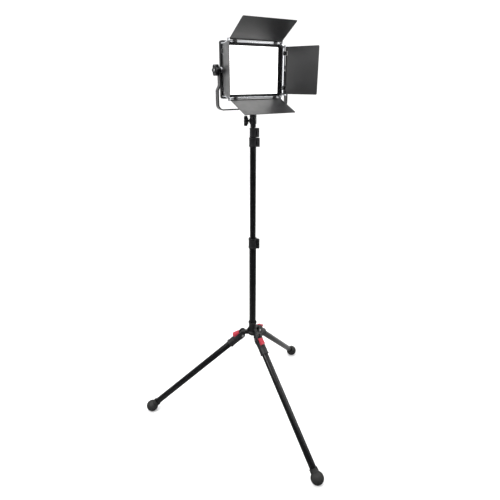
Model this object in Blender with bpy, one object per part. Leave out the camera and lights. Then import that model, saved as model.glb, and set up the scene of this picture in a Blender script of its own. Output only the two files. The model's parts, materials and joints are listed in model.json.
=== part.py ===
"""LED panel light with four barn doors, on a telescoping stand with three folding legs.

Metres, +Z up. The lamp faces -Y. The origin is on the floor, under the middle of the outline.
The pole stands a little behind it, because one foot points forward, under the lamp.
"""
import math

import bmesh
import bpy
from mathutils import Matrix, Vector

# ---- fits -------------------------------------------------------------------------------
GAP = 0.0003                 # between pieces that touch
RUN = 0.0006                 # all round a piece that slides or turns
OVER = 0.004                 # how far a cutter stands proud of what it cuts

# ---- heights on the pole ----------------------------------------------------------------
HEAD_Z = 1.603               # the lamp's tilt axis
LOWER_CLAMP_Z = 0.557 * HEAD_Z
PIN_Z = 0.2882 * HEAD_Z      # the legs' hinge pins
LOWER_CLAMP_TALL = 0.045
SMALL_CLAMP_TALL = 0.035
CLAMP_SPACE = 0.002          # between the parts stacked above the middle clamp
RECEIVER_Z = HEAD_Z - 0.203  # underside of the spigot receiver
UPPER_CLAMP_Z = RECEIVER_Z - SMALL_CLAMP_TALL - CLAMP_SPACE
MIDDLE_CLAMP_Z = UPPER_CLAMP_Z - SMALL_CLAMP_TALL - CLAMP_SPACE

# ---- tubes ------------------------------------------------------------------------------
LOWER_R = 0.0155
MIDDLE_R = LOWER_R - 0.00275
UPPER_R = MIDDLE_R - 0.0025
TOP_R = UPPER_R - 0.00225    # fits the usual 16 mm socket
LEG_R = 0.015
TUBE_WALL = 0.0015
TUBE_STEPS = 24
COLLAPSE = 0.38              # how far each section slides into the one below
HELD = 0.09                  # what stays inside the clamp below when a section is drawn out

# ---- clamps -----------------------------------------------------------------------------
CLAMP_WALL = 0.0035          # of a clamp around the tube below it
LIP = 0.008                  # the clamp's narrow top, which guides the sliding tube
LEVER_THICK = 0.006
LEVER_START = math.radians(-46)
LEVER_SWEEP = math.radians(92)
LUG_R = 0.005                # of a clamp lever's hinge and its lugs
LUG_TALL = 0.005

# ---- hub and legs -----------------------------------------------------------------------
HUB_R = LOWER_R + 0.008
HUB_DEEP = 0.013             # hub below the pins
HUB_TALL = 0.005             # hub body above the pins
HUB_SLEEVE_R = LOWER_R + 0.002
HUB_SLEEVE_TALL = 0.053
HUB_RING_R = LOWER_R + 0.004 # ring round the sleeve's top
HUB_RING_TALL = 0.009
PIN_REACH = HUB_R + 0.0235   # pole axis to hinge pin
PIN_R = 0.004
PIN_RISE = 0.006             # hinge pin above the leg tube's axis, square to the leg
BOLT_SPOT = (0.0074, -0.0095) # bright bolt at the fork's root, from the hinge pin
BOLT_R = 0.0065
BOLT_SHANK_R = 0.003
FOOT_REACH = 0.512           # pole axis to the middle of a foot
FOOT_R = 0.0284
LEG_TURN = math.radians(-1.55)
LEG_AZIMUTHS = [math.radians(a) + LEG_TURN for a in (-90, 30, 150)]
TONGUE_THICK = 0.014
TONGUE_R = 0.0085
GUSSET = (HUB_R + 0.0055, 0.026, 0.008)  # web above each tongue: reach, height and thickness
EAR_R = 0.012                # the fork's ears round the hinge pin
SOCKET_R = LEG_R + 0.004
SOCKET_END = 0.088           # from the pin, along the leg
TUBE_START = 0.058
SLOT_END = 0.0105
BUTTON_START = 0.013
BUTTON_LONG = 0.031
BUTTON_WIDE = 0.019
BUTTON_PROUD = (0.0035, 0.0105)  # above the socket, near the pin and at the far end
BUTTON_TRAVEL = 0.0025

# ---- yoke and knobs ---------------------------------------------------------------------
YOKE_WIDE = 0.020
YOKE_THICK = 0.003
YOKE_BEND_R = 0.020
YOKE_JOG_Z = (-0.050, -0.067)
YOKE_END_R = 0.012
STUD_R = 0.004
KNOB_R = 0.021
KNOB_THICK = 0.017
KNOB_LOBES = 6
RECEIVER_R = TOP_R + 0.0055
RECEIVER_NECK_R = TOP_R + 0.0032
RECEIVER_KNOB_AZ = math.radians(146)
SPIGOT_LONG = 0.043

# ---- lamp head --------------------------------------------------------------------------
CASE_HALF = (0.1364, 0.0958)
CASE_DEPTH = 0.034
CASE_WALL = 0.0024
CASE_TAPER = 0.020           # how far the sides draw in towards the back
WINDOW_HALF = (CASE_HALF[0] - 0.0219, CASE_HALF[1] - 0.0142)
WINDOW_CORNER = 0.002
BEZEL_THICK = 0.0026
DIFFUSER_THICK = 0.002
DIFFUSER_LAP = 0.004         # diffuser behind the bezel, all round
BOARD_THICK = 0.0016
PANEL_HALF = (0.034, 0.060)
PANEL_THICK = 0.0025
PLATE_HALF = (0.022, 0.036)
PLATE_THICK = 0.009
PLATE_U = CASE_HALF[0] - 0.0584
DIAL_R = 0.0085
DIAL_TALL = 0.011
YOKE_HALF = CASE_HALF[0] + 0.0191      # to the middle of the strip, low down
YOKE_TOP_HALF = CASE_HALF[0] + 0.0096  # to the middle of the strip at the pivots
YOKE_DROP = CASE_HALF[1] + 0.0378      # tilt axis down to the middle of the bottom bar

# ---- barn doors -------------------------------------------------------------------------
SIDE_HINGE_U = CASE_HALF[0] + 0.0019
CAP_HINGE_Z = CASE_HALF[1] + 0.0044
SIDE_HINGE_S = 0.0186        # forward of the tilt axis
CAP_HINGE_S = 0.0216         # top and bottom doors close over the side doors
SIDE_DOOR = (CASE_HALF[1] - 0.0123, 0.137)   # half-width along the hinge, length
CAP_DOOR = (CASE_HALF[0] - 0.0229, 0.1065)
SIDE_OPEN = math.radians(22)
TOP_OPEN = math.radians(35)
BOTTOM_OPEN = math.radians(25.5)
SHEET = 0.0014
BARREL_R = 0.003
ROD_R = 0.0015
BAND_THICK = 0.006           # silver bar, across the front
BAND_DEEP = 0.0107           # silver bar, front to back
BAND_CORNER = (0.020, 0.0135)
CLIP_U = CASE_HALF[0] - 0.0484         # middles of the hinge clips on the top and bottom bars
CLIP_Z = CASE_HALF[1] - 0.0348         # and on the side bars
CLIP_LONG = 0.014
DOOR_CORNER_R = 0.004
LUG_LONG = 0.0045

# ---- where the pole stands --------------------------------------------------------------
FEET = [Vector((math.cos(a), math.sin(a), 0)) * FOOT_REACH for a in LEG_AZIMUTHS]
POLE_X = -(min(f.x for f in FEET) + max(f.x for f in FEET)) / 2
POLE_Y = -(min(f.y for f in FEET) + max(f.y for f in FEET)) / 2
LEG_SPAN = math.hypot(FOOT_REACH - PIN_REACH, PIN_Z - FOOT_R)
LEG_LONG = math.sqrt(LEG_SPAN ** 2 - PIN_RISE ** 2)
LEG_SLOPE = (math.atan2(PIN_Z - FOOT_R, FOOT_REACH - PIN_REACH)
             - math.asin(PIN_RISE / LEG_SPAN))

for old in list(bpy.data.objects):
    bpy.data.objects.remove(old)


# ---- helpers ----------------------------------------------------------------------------
def material(name, colour, roughness, metallic=0.0):
    made = bpy.data.materials.new(name)
    made.use_nodes = True
    shader = made.node_tree.nodes["Principled BSDF"]
    shader.inputs["Base Color"].default_value = (*colour, 1)
    shader.inputs["Roughness"].default_value = roughness
    shader.inputs["Metallic"].default_value = metallic
    return made


BLACK_PAINT = ((0.012, 0.012, 0.013), 0.38, 0.0)
BLACK_PLASTIC = ((0.018, 0.018, 0.019), 0.5, 0.0)
RUBBER = ((0.015, 0.015, 0.015), 0.75, 0.0)
SILVER = ((0.62, 0.62, 0.63), 0.32, 1.0)
RED_PLASTIC = ((0.60, 0.035, 0.055), 0.4, 0.0)
WHITE_PLASTIC = ((0.86, 0.86, 0.84), 0.45, 0.0)
CIRCUIT = ((0.05, 0.16, 0.08), 0.5, 0.0)
DARK_GLASS = ((0.01, 0.012, 0.014), 0.12, 0.0)


def empty(name, matrix):
    """A guide on a joint's axis, which carries the pieces that move with it."""
    guide = bpy.data.objects.new(name, None)
    bpy.context.collection.objects.link(guide)
    guide.matrix_world = matrix
    return guide


def basis(origin, x_axis, y_axis):
    """A matrix whose X and Y point along two given perpendicular directions."""
    x = Vector(x_axis).normalized()
    y = Vector(y_axis).normalized()
    turned = Matrix((x, y, x.cross(y))).transposed().to_4x4()
    return Matrix.Translation(origin) @ turned


def piece(name, bm, finish=None, parent=None, location=(0, 0, 0), rotation=(0, 0, 0)):
    """A finished object from a bmesh, with its faces outwards and its round faces smooth."""
    bmesh.ops.remove_doubles(bm, verts=bm.verts, dist=0.000005)
    bmesh.ops.recalc_face_normals(bm, faces=bm.faces)
    mesh = bpy.data.meshes.new(name)
    bm.to_mesh(mesh)
    bm.free()
    mesh.shade_smooth()
    mesh.set_sharp_from_angle(angle=math.radians(35))
    made = bpy.data.objects.new(name, mesh)
    bpy.context.collection.objects.link(made)
    if finish:
        mesh.materials.append(material(name, *finish))
    made.parent = parent
    made.location = location
    made.rotation_euler = rotation
    return made


def combine(target, tool, operation):
    """Apply one Boolean to a piece that is still at the origin, and drop the tool."""
    cut = target.modifiers.new("cut", "BOOLEAN")
    cut.operation = operation
    cut.solver = "EXACT"
    cut.object = tool
    bpy.context.view_layer.update()
    mesh = bpy.data.meshes.new_from_object(
        target.evaluated_get(bpy.context.evaluated_depsgraph_get()))
    target.modifiers.clear()
    target.data = mesh
    mesh.shade_smooth()
    mesh.set_sharp_from_angle(angle=math.radians(35))
    bpy.data.objects.remove(tool)
    return target


def cut(target, *tools):
    for tool in tools:
        combine(target, piece("cutter", tool), "DIFFERENCE")
    return target


def join(target, *tools):
    for tool in tools:
        combine(target, piece("addition", tool), "UNION")
    return target


def place(made, parent, finish=None, location=(0, 0, 0), rotation=(0, 0, 0)):
    """Put a piece that Booleans shaped at the origin where it belongs."""
    if finish:
        made.data.materials.clear()
        made.data.materials.append(material(made.name, *finish))
    made.parent = parent
    made.location = location
    made.rotation_euler = rotation
    return made


def extrude(outline, low, high, axis="Z"):
    """A straight prism. The outline is (x, y) for Z, (x, z) for Y and (y, z) for X."""
    spots = {"Z": lambda p, h: (p[0], p[1], h),
             "Y": lambda p, h: (p[0], h, p[1]),
             "X": lambda p, h: (h, p[0], p[1])}[axis]
    bm = bmesh.new()
    base = bm.faces.new([bm.verts.new(spots(p, low)) for p in outline])
    grown = bmesh.ops.extrude_face_region(bm, geom=[base])["geom"]
    shift = Vector(spots((0, 0), high)) - Vector(spots((0, 0), low))
    bmesh.ops.translate(bm, verts=[v for v in grown if isinstance(v, bmesh.types.BMVert)], vec=shift)
    return bm


def block(low, high, bevel=0.0, segments=2):
    """A box between two corners, with its edges rounded if asked."""
    bm = extrude([(low[0], low[1]), (high[0], low[1]), (high[0], high[1]), (low[0], high[1])],
                 low[2], high[2])
    if bevel:
        bmesh.ops.bevel(bm, geom=bm.edges[:], offset=bevel, segments=segments,
                        affect="EDGES", profile=0.5, clamp_overlap=True)
    return bm


def turn(profile, axis="Z", steps=TUBE_STEPS):
    """A turned solid from a closed profile of (radius, height) points."""
    bm = bmesh.new()
    points = [bm.verts.new((r, 0, h)) for r, h in profile]
    edges = [bm.edges.new((points[i - 1], points[i])) for i in range(len(points))
             if max(profile[i - 1][0], profile[i][0]) > 0]
    bmesh.ops.spin(bm, geom=points + edges, cent=(0, 0, 0), axis=(0, 0, 1),
                   angle=math.tau, steps=steps, use_merge=True)
    bmesh.ops.remove_doubles(bm, verts=bm.verts, dist=0.000005)
    if axis == "X":
        bmesh.ops.rotate(bm, verts=bm.verts, matrix=Matrix.Rotation(math.pi / 2, 3, "Y"))
    if axis == "Y":
        bmesh.ops.rotate(bm, verts=bm.verts, matrix=Matrix.Rotation(-math.pi / 2, 3, "X"))
    return bm


def cylinder(radius, low, high, axis="Z", steps=TUBE_STEPS, chamfer=0.0):
    c = chamfer
    rim = [(radius, low), (radius, high)]
    if c:
        rim = [(radius - c, low), (radius, low + c), (radius, high - c), (radius - c, high)]
    return turn([(0, low), *rim, (0, high)], axis, steps)


def tube(outer, inner, low, high, axis="Z", steps=TUBE_STEPS):
    return turn([(inner, low), (outer, low), (outer, high), (inner, high)], axis, steps)


def moved(bm, x=0.0, y=0.0, z=0.0):
    bmesh.ops.translate(bm, verts=bm.verts, vec=(x, y, z))
    return bm


def arc(centre, radius, start, end, count):
    """Points along an arc, both ends included."""
    return [(centre[0] + radius * math.cos(start + (end - start) * i / count),
             centre[1] + radius * math.sin(start + (end - start) * i / count))
            for i in range(count + 1)]


def rounded(half_x, half_y, radius, count=5, middle=(0, 0)):
    """The outline of a rectangle with rounded corners."""
    points = []
    for quarter, (sx, sy) in enumerate(((1, 1), (-1, 1), (-1, -1), (1, -1))):
        centre = (middle[0] + sx * (half_x - radius), middle[1] + sy * (half_y - radius))
        points += arc(centre, radius, quarter * math.pi / 2, (quarter + 1) * math.pi / 2, count)
    return points


def bracket(outer, inner, low, high):
    """A flat ring between two outlines with the same number of points, across Y."""
    bm = bmesh.new()
    loops = [[bm.verts.new((x, y, z)) for x, z in outline]
             for outline, y in ((outer, low), (inner, low), (inner, high), (outer, high))]
    for a, b in zip(loops, loops[1:] + loops[:1]):
        for i in range(len(outer)):
            bm.faces.new((a[i - 1], a[i], b[i], b[i - 1]))
    return bm


# ---- stand: hub, pole sections and clamps -----------------------------------------------
POLE = Matrix.Translation((POLE_X, POLE_Y, 0))
stand = empty("stand_axis", POLE)


def make_hub():
    """Cast hub: a ringed sleeve for the pole, and a webbed tongue for each leg."""
    low = -HUB_DEEP
    bore = LOWER_R + GAP
    chamfer = 0.002
    top = HUB_TALL + HUB_SLEEVE_TALL
    ring = top - HUB_RING_TALL
    edge = chamfer / 2
    hub = piece("leg_hub", turn([
        (0, low), (HUB_R - 0.008, low), (HUB_R, low + 0.008), (HUB_R, HUB_TALL - chamfer),
        (HUB_R - chamfer, HUB_TALL), (HUB_SLEEVE_R, HUB_TALL + chamfer), (HUB_SLEEVE_R, ring),
        (HUB_RING_R, ring + edge), (HUB_RING_R, top - edge), (HUB_RING_R - edge, top), (bore, top),
        (bore, low + 0.007), (0, low + 0.007)], steps=24))
    root = (HUB_R + bore) / 2
    tip = arc((PIN_REACH, 0), TONGUE_R, -math.pi / 2, math.pi / 2, 12)
    outline = [(root, -TONGUE_R), *tip, (root, TONGUE_R)]
    reach, rise, thick = GUSSET
    web_root = (HUB_SLEEVE_R + bore) / 2
    web = [(web_root, 0), (reach, 0), (reach, TONGUE_R - GAP), (HUB_SLEEVE_R + 0.001, rise),
           (web_root, rise)]
    for azimuth in LEG_AZIMUTHS:
        spin = Matrix.Rotation(azimuth, 3, "Z")
        tongue = extrude(outline, -TONGUE_THICK / 2, TONGUE_THICK / 2, "Y")
        gusset = extrude(web, -thick / 2, thick / 2, "Y")
        hole = moved(cylinder(PIN_R + GAP, -TONGUE_THICK, TONGUE_THICK, "Y", 20), x=PIN_REACH)
        for tool in (tongue, gusset, hole):
            bmesh.ops.rotate(tool, verts=tool.verts, matrix=spin)
        join(hub, tongue, gusset)
        cut(hub, hole)
    place(hub, stand, BLACK_PLASTIC, (0, 0, PIN_Z))


def make_clamp(name, low, tall, around, slides, azimuth):
    """A clamp: a collar with two lugs, and a lever that wraps round it between the lugs."""
    outer = around + CLAMP_WALL
    step = tall - LIP
    edge = 0.0012
    collar = piece(f"{name}_collar", turn([
        (around + GAP, 0), (outer - edge, 0), (outer, edge), (outer, tall - edge),
        (outer - edge, tall), (slides + RUN, tall), (slides + RUN, step + GAP),
        (around + GAP, step + GAP)], steps=24))
    inner = outer + RUN
    mid = inner + LUG_R
    pivot = (mid * math.cos(azimuth), mid * math.sin(azimuth))
    out = Vector((math.cos(azimuth), math.sin(azimuth)))
    side = Vector((-out.y, out.x))
    root = around + CLAMP_WALL / 2
    for bottom in (0, tall - LUG_TALL):
        lug = [tuple(out * root - side * LUG_R),
               *arc(pivot, LUG_R, azimuth - math.pi / 2, azimuth + math.pi / 2, 10),
               tuple(out * root + side * LUG_R)]
        join(collar, extrude(lug, bottom + edge, bottom + LUG_TALL - edge))
    place(collar, stand, BLACK_PLASTIC, (0, 0, low))
    hinge = empty(f"{name}_lever_axis", POLE @ Matrix.Translation((*pivot, low + tall / 2)))
    half = LEVER_THICK / 2
    tip = azimuth + LEVER_SWEEP
    end = ((inner + half + 0.002) * math.cos(tip), (inner + half + 0.002) * math.sin(tip))
    outline = (arc((0, 0), inner, tip, azimuth, 12)
               + arc(pivot, LUG_R, azimuth + math.pi, azimuth + math.tau, 8)[1:-1]
               + arc((0, 0), mid + LUG_R, azimuth, azimuth + 0.2, 3)
               + arc((0, 0), inner + LEVER_THICK, azimuth + 0.5, tip - 0.25, 7)
               + arc(end, half + 0.002, tip, tip + math.pi / 2, 4))
    outline = [(x - pivot[0], y - pivot[1]) for x, y in outline]
    reach = tall / 2 - LUG_TALL - GAP
    piece(f"{name}_lever", extrude(outline, -reach, reach), BLACK_PLASTIC, hinge)


def make_pole():
    sections = (
        ("lower_tube", LOWER_R, PIN_Z - HUB_DEEP + 0.0075, LOWER_CLAMP_Z + LOWER_CLAMP_TALL - LIP),
        ("middle_tube", MIDDLE_R, MIDDLE_CLAMP_Z - COLLAPSE - HELD,
         MIDDLE_CLAMP_Z + SMALL_CLAMP_TALL - LIP),
        ("upper_tube", UPPER_R, UPPER_CLAMP_Z - COLLAPSE - HELD,
         UPPER_CLAMP_Z + SMALL_CLAMP_TALL - LIP),
        ("top_tube", TOP_R, RECEIVER_Z - COLLAPSE - HELD, RECEIVER_Z - 0.003))
    for name, radius, low, high in sections:
        piece(name, tube(radius, radius - TUBE_WALL, low, high), BLACK_PAINT, stand)
    make_clamp("lower_clamp", LOWER_CLAMP_Z, LOWER_CLAMP_TALL, LOWER_R, MIDDLE_R, LEVER_START)
    make_clamp("middle_clamp", MIDDLE_CLAMP_Z, SMALL_CLAMP_TALL, MIDDLE_R, UPPER_R, LEVER_START)
    make_clamp("upper_clamp", UPPER_CLAMP_Z, SMALL_CLAMP_TALL, UPPER_R, TOP_R, LEVER_START)
    plug = TOP_R - TUBE_WALL - GAP
    waist = TOP_R - 0.0018
    top = RECEIVER_Z + SPIGOT_LONG
    piece("spigot_stud", turn([
        (0, RECEIVER_Z - 0.030), (plug, RECEIVER_Z - 0.030), (plug, RECEIVER_Z - 0.0027),
        (TOP_R, RECEIVER_Z - 0.0027), (TOP_R, RECEIVER_Z + 0.015), (waist, RECEIVER_Z + 0.018),
        (waist, RECEIVER_Z + 0.031), (TOP_R, RECEIVER_Z + 0.034), (TOP_R, top - 0.001),
        (TOP_R - 0.001, top), (0, top)]), SILVER, stand)


# ---- legs -------------------------------------------------------------------------------
def hull(circles):
    """The outline round some circles, each (x, y, radius), as one convex loop."""
    points = sorted({(round(p[0], 7), round(p[1], 7))
                     for x, y, r in circles for p in arc((x, y), r, 0, math.tau, 32)[1:]})
    loops = []
    for order in (points, points[::-1]):
        loop = []
        for p in order:
            while len(loop) > 1 and ((loop[-1][0] - loop[-2][0]) * (p[1] - loop[-2][1])
                                     <= (loop[-1][1] - loop[-2][1]) * (p[0] - loop[-2][0])):
                loop.pop()
            loop.append(p)
        loops += loop[:-1]
    return loops


def make_legs():
    """Each leg: a forked socket on a pin, with a bolt, a tube, a ball foot and a release button."""
    fork_half = SOCKET_R - 0.003
    slot = TONGUE_THICK / 2 + GAP
    chamfer = 0.0015
    start = BOLT_SPOT[0]
    socket = piece("socket", moved(turn([
        (0, start), (SOCKET_R - chamfer, start), (SOCKET_R, start + chamfer),
        (SOCKET_R, SOCKET_END - 0.007), (SOCKET_R + chamfer, SOCKET_END - 0.0055),
        (SOCKET_R + chamfer, SOCKET_END - 0.001), (SOCKET_R, SOCKET_END), (0, SOCKET_END)],
        "X", 24), z=-PIN_RISE))
    fork = hull([(0, 0, EAR_R), (*BOLT_SPOT, BOLT_R + 0.004), (0.024, -PIN_RISE, SOCKET_R - 0.004)])
    join(socket, extrude(fork, -fork_half, fork_half, "Y"))
    end = BUTTON_START + BUTTON_LONG
    skin = SOCKET_R - PIN_RISE
    floor = skin - 0.006
    cut(socket,
        block((-0.03, -slot, -0.05), (SLOT_END, slot, 0.03)),
        cylinder(PIN_R + GAP, -0.03, 0.03, "Y", 20),
        moved(cylinder(BOLT_SHANK_R + GAP, -0.03, 0.03, "Y", 20), x=BOLT_SPOT[0], z=BOLT_SPOT[1]),
        *(moved(cylinder(BOLT_R + RUN, *sorted((side * fork_half, side * 0.03)), "Y", 24),
                x=BOLT_SPOT[0], z=BOLT_SPOT[1]) for side in (-1, 1)),
        moved(cylinder(LEG_R + GAP, TUBE_START - 0.001, SOCKET_END + OVER, "X"), z=-PIN_RISE),
        block((BUTTON_START - RUN, -BUTTON_WIDE / 2 - RUN, floor - BUTTON_TRAVEL - 0.001),
              (end + RUN, BUTTON_WIDE / 2 + RUN, 0.03)))
    neck = LEG_R + GAP + 0.0032
    meet = -math.sqrt(FOOT_R ** 2 - neck ** 2)
    first = math.acos(-meet / FOOT_R)
    ball = [(FOOT_R * math.sin(a), LEG_LONG - FOOT_R * math.cos(a))
            for a in (first + (math.pi - first) * i / 8 for i in range(8))]
    foot_piece = piece("foot", moved(turn([
        (LEG_R + GAP, LEG_LONG - 0.040), (neck, LEG_LONG - 0.040), *ball,
        (0, LEG_LONG + FOOT_R), (0, LEG_LONG - 0.010), (LEG_R + GAP, LEG_LONG - 0.010)],
        "X", 24), z=-PIN_RISE))
    leg_piece = piece("leg", moved(
        tube(LEG_R, LEG_R - TUBE_WALL, TUBE_START, LEG_LONG - 0.011, "X"), z=-PIN_RISE))
    pin_piece = piece("pin", cylinder(PIN_R, -fork_half, fork_half, "Y", 20, 0.0006))
    head = fork_half + GAP
    bolt_piece = piece("bolt", moved(turn([
        (0, -head - 0.002), (BOLT_R - 0.001, -head - 0.002), (BOLT_R, -head - 0.001), (BOLT_R, -head),
        (BOLT_SHANK_R, -head), (BOLT_SHANK_R, head), (BOLT_R, head), (BOLT_R, head + 0.001),
        (BOLT_R - 0.001, head + 0.002), (0, head + 0.002)], "Y", 24), x=BOLT_SPOT[0], z=BOLT_SPOT[1]))
    button = extrude([(BUTTON_START, floor), (end, floor), (end, skin + BUTTON_PROUD[1]),
                      (end - 0.008, skin + BUTTON_PROUD[1]), (BUTTON_START, skin + BUTTON_PROUD[0])],
                     -BUTTON_WIDE / 2, BUTTON_WIDE / 2, "Y")
    bmesh.ops.bevel(button, geom=button.edges[:], offset=0.0016, segments=2, affect="EDGES",
                    profile=0.5, clamp_overlap=True)
    button_piece = piece("button", button)
    for number, azimuth in enumerate(LEG_AZIMUTHS, 1):
        matrix = (POLE @ Matrix.Rotation(azimuth, 4, "Z")
                  @ Matrix.Translation((PIN_REACH, 0, PIN_Z))
                  @ Matrix.Rotation(LEG_SLOPE, 4, "Y"))
        axis = empty(f"leg_{number}_axis", matrix)
        for name, source, finish in (("leg_socket", socket, BLACK_PLASTIC),
                                     ("leg_tube", leg_piece, BLACK_PAINT),
                                     ("foot", foot_piece, RUBBER),
                                     ("leg_pin", pin_piece, BLACK_PAINT),
                                     ("leg_bolt", bolt_piece, SILVER),
                                     ("release_button", button_piece, RED_PLASTIC)):
            copy = bpy.data.objects.new(f"{name}_{number}", source.data.copy())
            bpy.context.collection.objects.link(copy)
            place(copy, axis, finish)
    for source in (socket, foot_piece, leg_piece, pin_piece, bolt_piece, button_piece):
        bpy.data.objects.remove(source)


# ---- receiver, yoke and knobs -----------------------------------------------------------
YOKE_UNDER = HEAD_Z - YOKE_DROP - YOKE_THICK / 2


def lobed_knob(bore_deep):
    """A clamping knob with round lobes, from its hub at 0 outwards along +X."""
    count = KNOB_LOBES * 8
    depth = 0.0022
    outline = []
    for i in range(count):
        angle = math.tau * i / count
        radius = KNOB_R - depth + depth * math.cos(KNOB_LOBES * angle)
        outline.append((radius * math.cos(angle), radius * math.sin(angle)))
    knob = piece("knob", extrude(outline, 0, KNOB_THICK, "X"))
    knob_edges = bmesh.new()
    knob_edges.from_mesh(knob.data)
    rims = [e for e in knob_edges.edges if abs(e.verts[0].co.x - e.verts[1].co.x) < GAP]
    bmesh.ops.bevel(knob_edges, geom=rims, offset=0.0015, segments=1, affect="EDGES", profile=0.5)
    knob_edges.to_mesh(knob.data)
    knob_edges.free()
    return cut(knob, cylinder(STUD_R + GAP, -OVER, bore_deep, "X", 20))


def make_receiver():
    """The spigot receiver, which pans on the stud, its clamp knob and the bolt to the yoke."""
    top = YOKE_UNDER - RECEIVER_Z - GAP
    edge = 0.001
    knob_z = 0.024
    receiver = piece("spigot_receiver", turn([
        (0, SPIGOT_LONG + 0.002), (TOP_R + GAP, SPIGOT_LONG + 0.002), (TOP_R + GAP, 0),
        (RECEIVER_NECK_R, 0), (RECEIVER_NECK_R, 0.011), (RECEIVER_R, 0.0125), (RECEIVER_R, top - edge),
        (RECEIVER_R - edge, top), (0, top)], steps=24))
    spin = Matrix.Rotation(RECEIVER_KNOB_AZ, 3, "Z")
    hole = moved(cylinder(STUD_R + GAP, TOP_R, RECEIVER_R + OVER, "X", 20), z=knob_z)
    bmesh.ops.rotate(hole, verts=hole.verts, matrix=spin)
    bolt_low = SPIGOT_LONG + 0.006
    cut(receiver, hole, cylinder(STUD_R + GAP, bolt_low - 0.001, top + OVER, "Z", 20))
    place(receiver, stand, BLACK_PAINT, (0, 0, RECEIVER_Z))
    reach = RECEIVER_R + 0.005
    screw = piece("receiver_knob", cylinder(STUD_R, TOP_R + GAP, reach + 0.004, "X", 20))
    knob = lobed_knob(-0.001)
    bmesh_knob = bmesh.new()
    bmesh_knob.from_mesh(knob.data)
    bpy.data.objects.remove(knob)
    join(screw, moved(bmesh_knob, x=reach))
    axis = empty("receiver_knob_axis", POLE @ Matrix.Translation((0, 0, RECEIVER_Z + knob_z))
                 @ Matrix.Rotation(RECEIVER_KNOB_AZ, 4, "Z"))
    place(screw, axis, BLACK_PLASTIC)
    bar_top = YOKE_UNDER + YOKE_THICK
    bolt = piece("yoke_bolt", turn([
        (0, RECEIVER_Z + bolt_low), (STUD_R, RECEIVER_Z + bolt_low), (STUD_R, bar_top + GAP),
        (0.009, bar_top + GAP), (0.009, bar_top + 0.005), (0.008, bar_top + 0.006),
        (0, bar_top + 0.006)], steps=24), SILVER)
    bolt.parent = stand


def yoke_path():
    """The strip's middle line from the left pivot down, across and up to the right one."""
    high, low = YOKE_JOG_Z
    bottom = -YOKE_DROP
    r = YOKE_BEND_R
    right = [(YOKE_TOP_HALF, 0), (YOKE_TOP_HALF, high), (YOKE_HALF, low), (YOKE_HALF, bottom + r)]
    right += arc((YOKE_HALF - r, bottom + r), r, 0, -math.pi / 2, 8)[1:]
    left = [(-x, z) for x, z in right]
    return left + right[::-1]


def make_yoke():
    """A flat steel strip bent into a U, with round ends and a hole at each pivot."""
    path = [Vector(p) for p in yoke_path()]
    half = YOKE_THICK / 2
    sides = ([], [])
    for i, here in enumerate(path):
        ways = [(b - a).normalized() for a, b in zip(path[max(i - 1, 0):i + 1], path[i:i + 2])]
        ways = [w for w in ways if w.length > 0] or [(path[1] - path[0]).normalized()]
        if i == 0:
            ways = [(path[1] - path[0]).normalized()]
        if i == len(path) - 1:
            ways = [(path[-1] - path[-2]).normalized()]
        normals = [Vector((-w.y, w.x)) for w in ways]
        mid = sum(normals, Vector((0, 0))).normalized()
        reach = half / mid.dot(normals[0])
        sides[0].append(tuple(here + mid * reach))
        sides[1].append(tuple(here - mid * reach))
    strip = piece("yoke", extrude(sides[0] + sides[1][::-1], -YOKE_WIDE / 2, YOKE_WIDE / 2, "Y"))
    for side in (-1, 1):
        near, far = sorted((side * (YOKE_TOP_HALF - half), side * (YOKE_TOP_HALF + half)))
        join(strip, cylinder(YOKE_END_R, near, far, "X", 24))
        cut(strip, cylinder(STUD_R + RUN, near - OVER, far + OVER, "X", 20))
    hole = cylinder(STUD_R + RUN, -YOKE_DROP - 2 * half, -YOKE_DROP + 2 * half, "Z", 20)
    cut(strip, hole)
    place(strip, stand, BLACK_PAINT, (0, 0, HEAD_Z))


def make_pivots():
    """A stud with a spacer on each side of the case, and the knob that clamps the yoke."""
    inner = YOKE_TOP_HALF - YOKE_THICK / 2 - GAP
    outer = YOKE_TOP_HALF + YOKE_THICK / 2 + 0.0008
    for name, side in (("left", -1), ("right", 1)):
        stud = turn([
            (0, CASE_HALF[0] + GAP), (0.011, CASE_HALF[0] + GAP), (0.011, inner),
            (STUD_R, inner), (STUD_R, outer + 0.010), (0, outer + 0.010)], "X", 24)
        spin = Matrix.Rotation(math.pi if side < 0 else 0, 3, "Z")
        bmesh.ops.rotate(stud, verts=stud.verts, matrix=spin)
        piece(f"tilt_stud_{name}", stud, SILVER, head)
        knob = lobed_knob(0.011)
        axis = empty(f"tilt_knob_{name}_axis",
                     HEAD @ Matrix.Translation((side * outer, 0, 0))
                     @ Matrix.Rotation(math.pi if side < 0 else 0, 4, "Z"))
        knob.name = f"tilt_knob_{name}"
        place(knob, axis, BLACK_PLASTIC)


# ---- lamp head: local +X is across, -Y is forward, +Z is up -----------------------------
HEAD = Matrix.Translation((POLE_X, POLE_Y, HEAD_Z))
head = empty("head_axis", HEAD)


def loft_case(half, depth, taper, front):
    """A box whose back is smaller than its front, as one mesh with rounded corners."""
    bm = bmesh.new()
    loops = []
    for drop, shrink in ((0, 0), (0.3, 0), (1, 1)):
        outline = rounded(half[0] - taper * shrink, half[1] - taper * 0.7 * shrink, 0.008, 4)
        loops.append([bm.verts.new((x, front + depth * drop, z)) for x, z in outline])
    for a, b in zip(loops, loops[1:]):
        for i in range(len(a)):
            bm.faces.new((a[i - 1], a[i], b[i], b[i - 1]))
    bm.faces.new(loops[0])
    bm.faces.new(loops[-1])
    return bm


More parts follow.
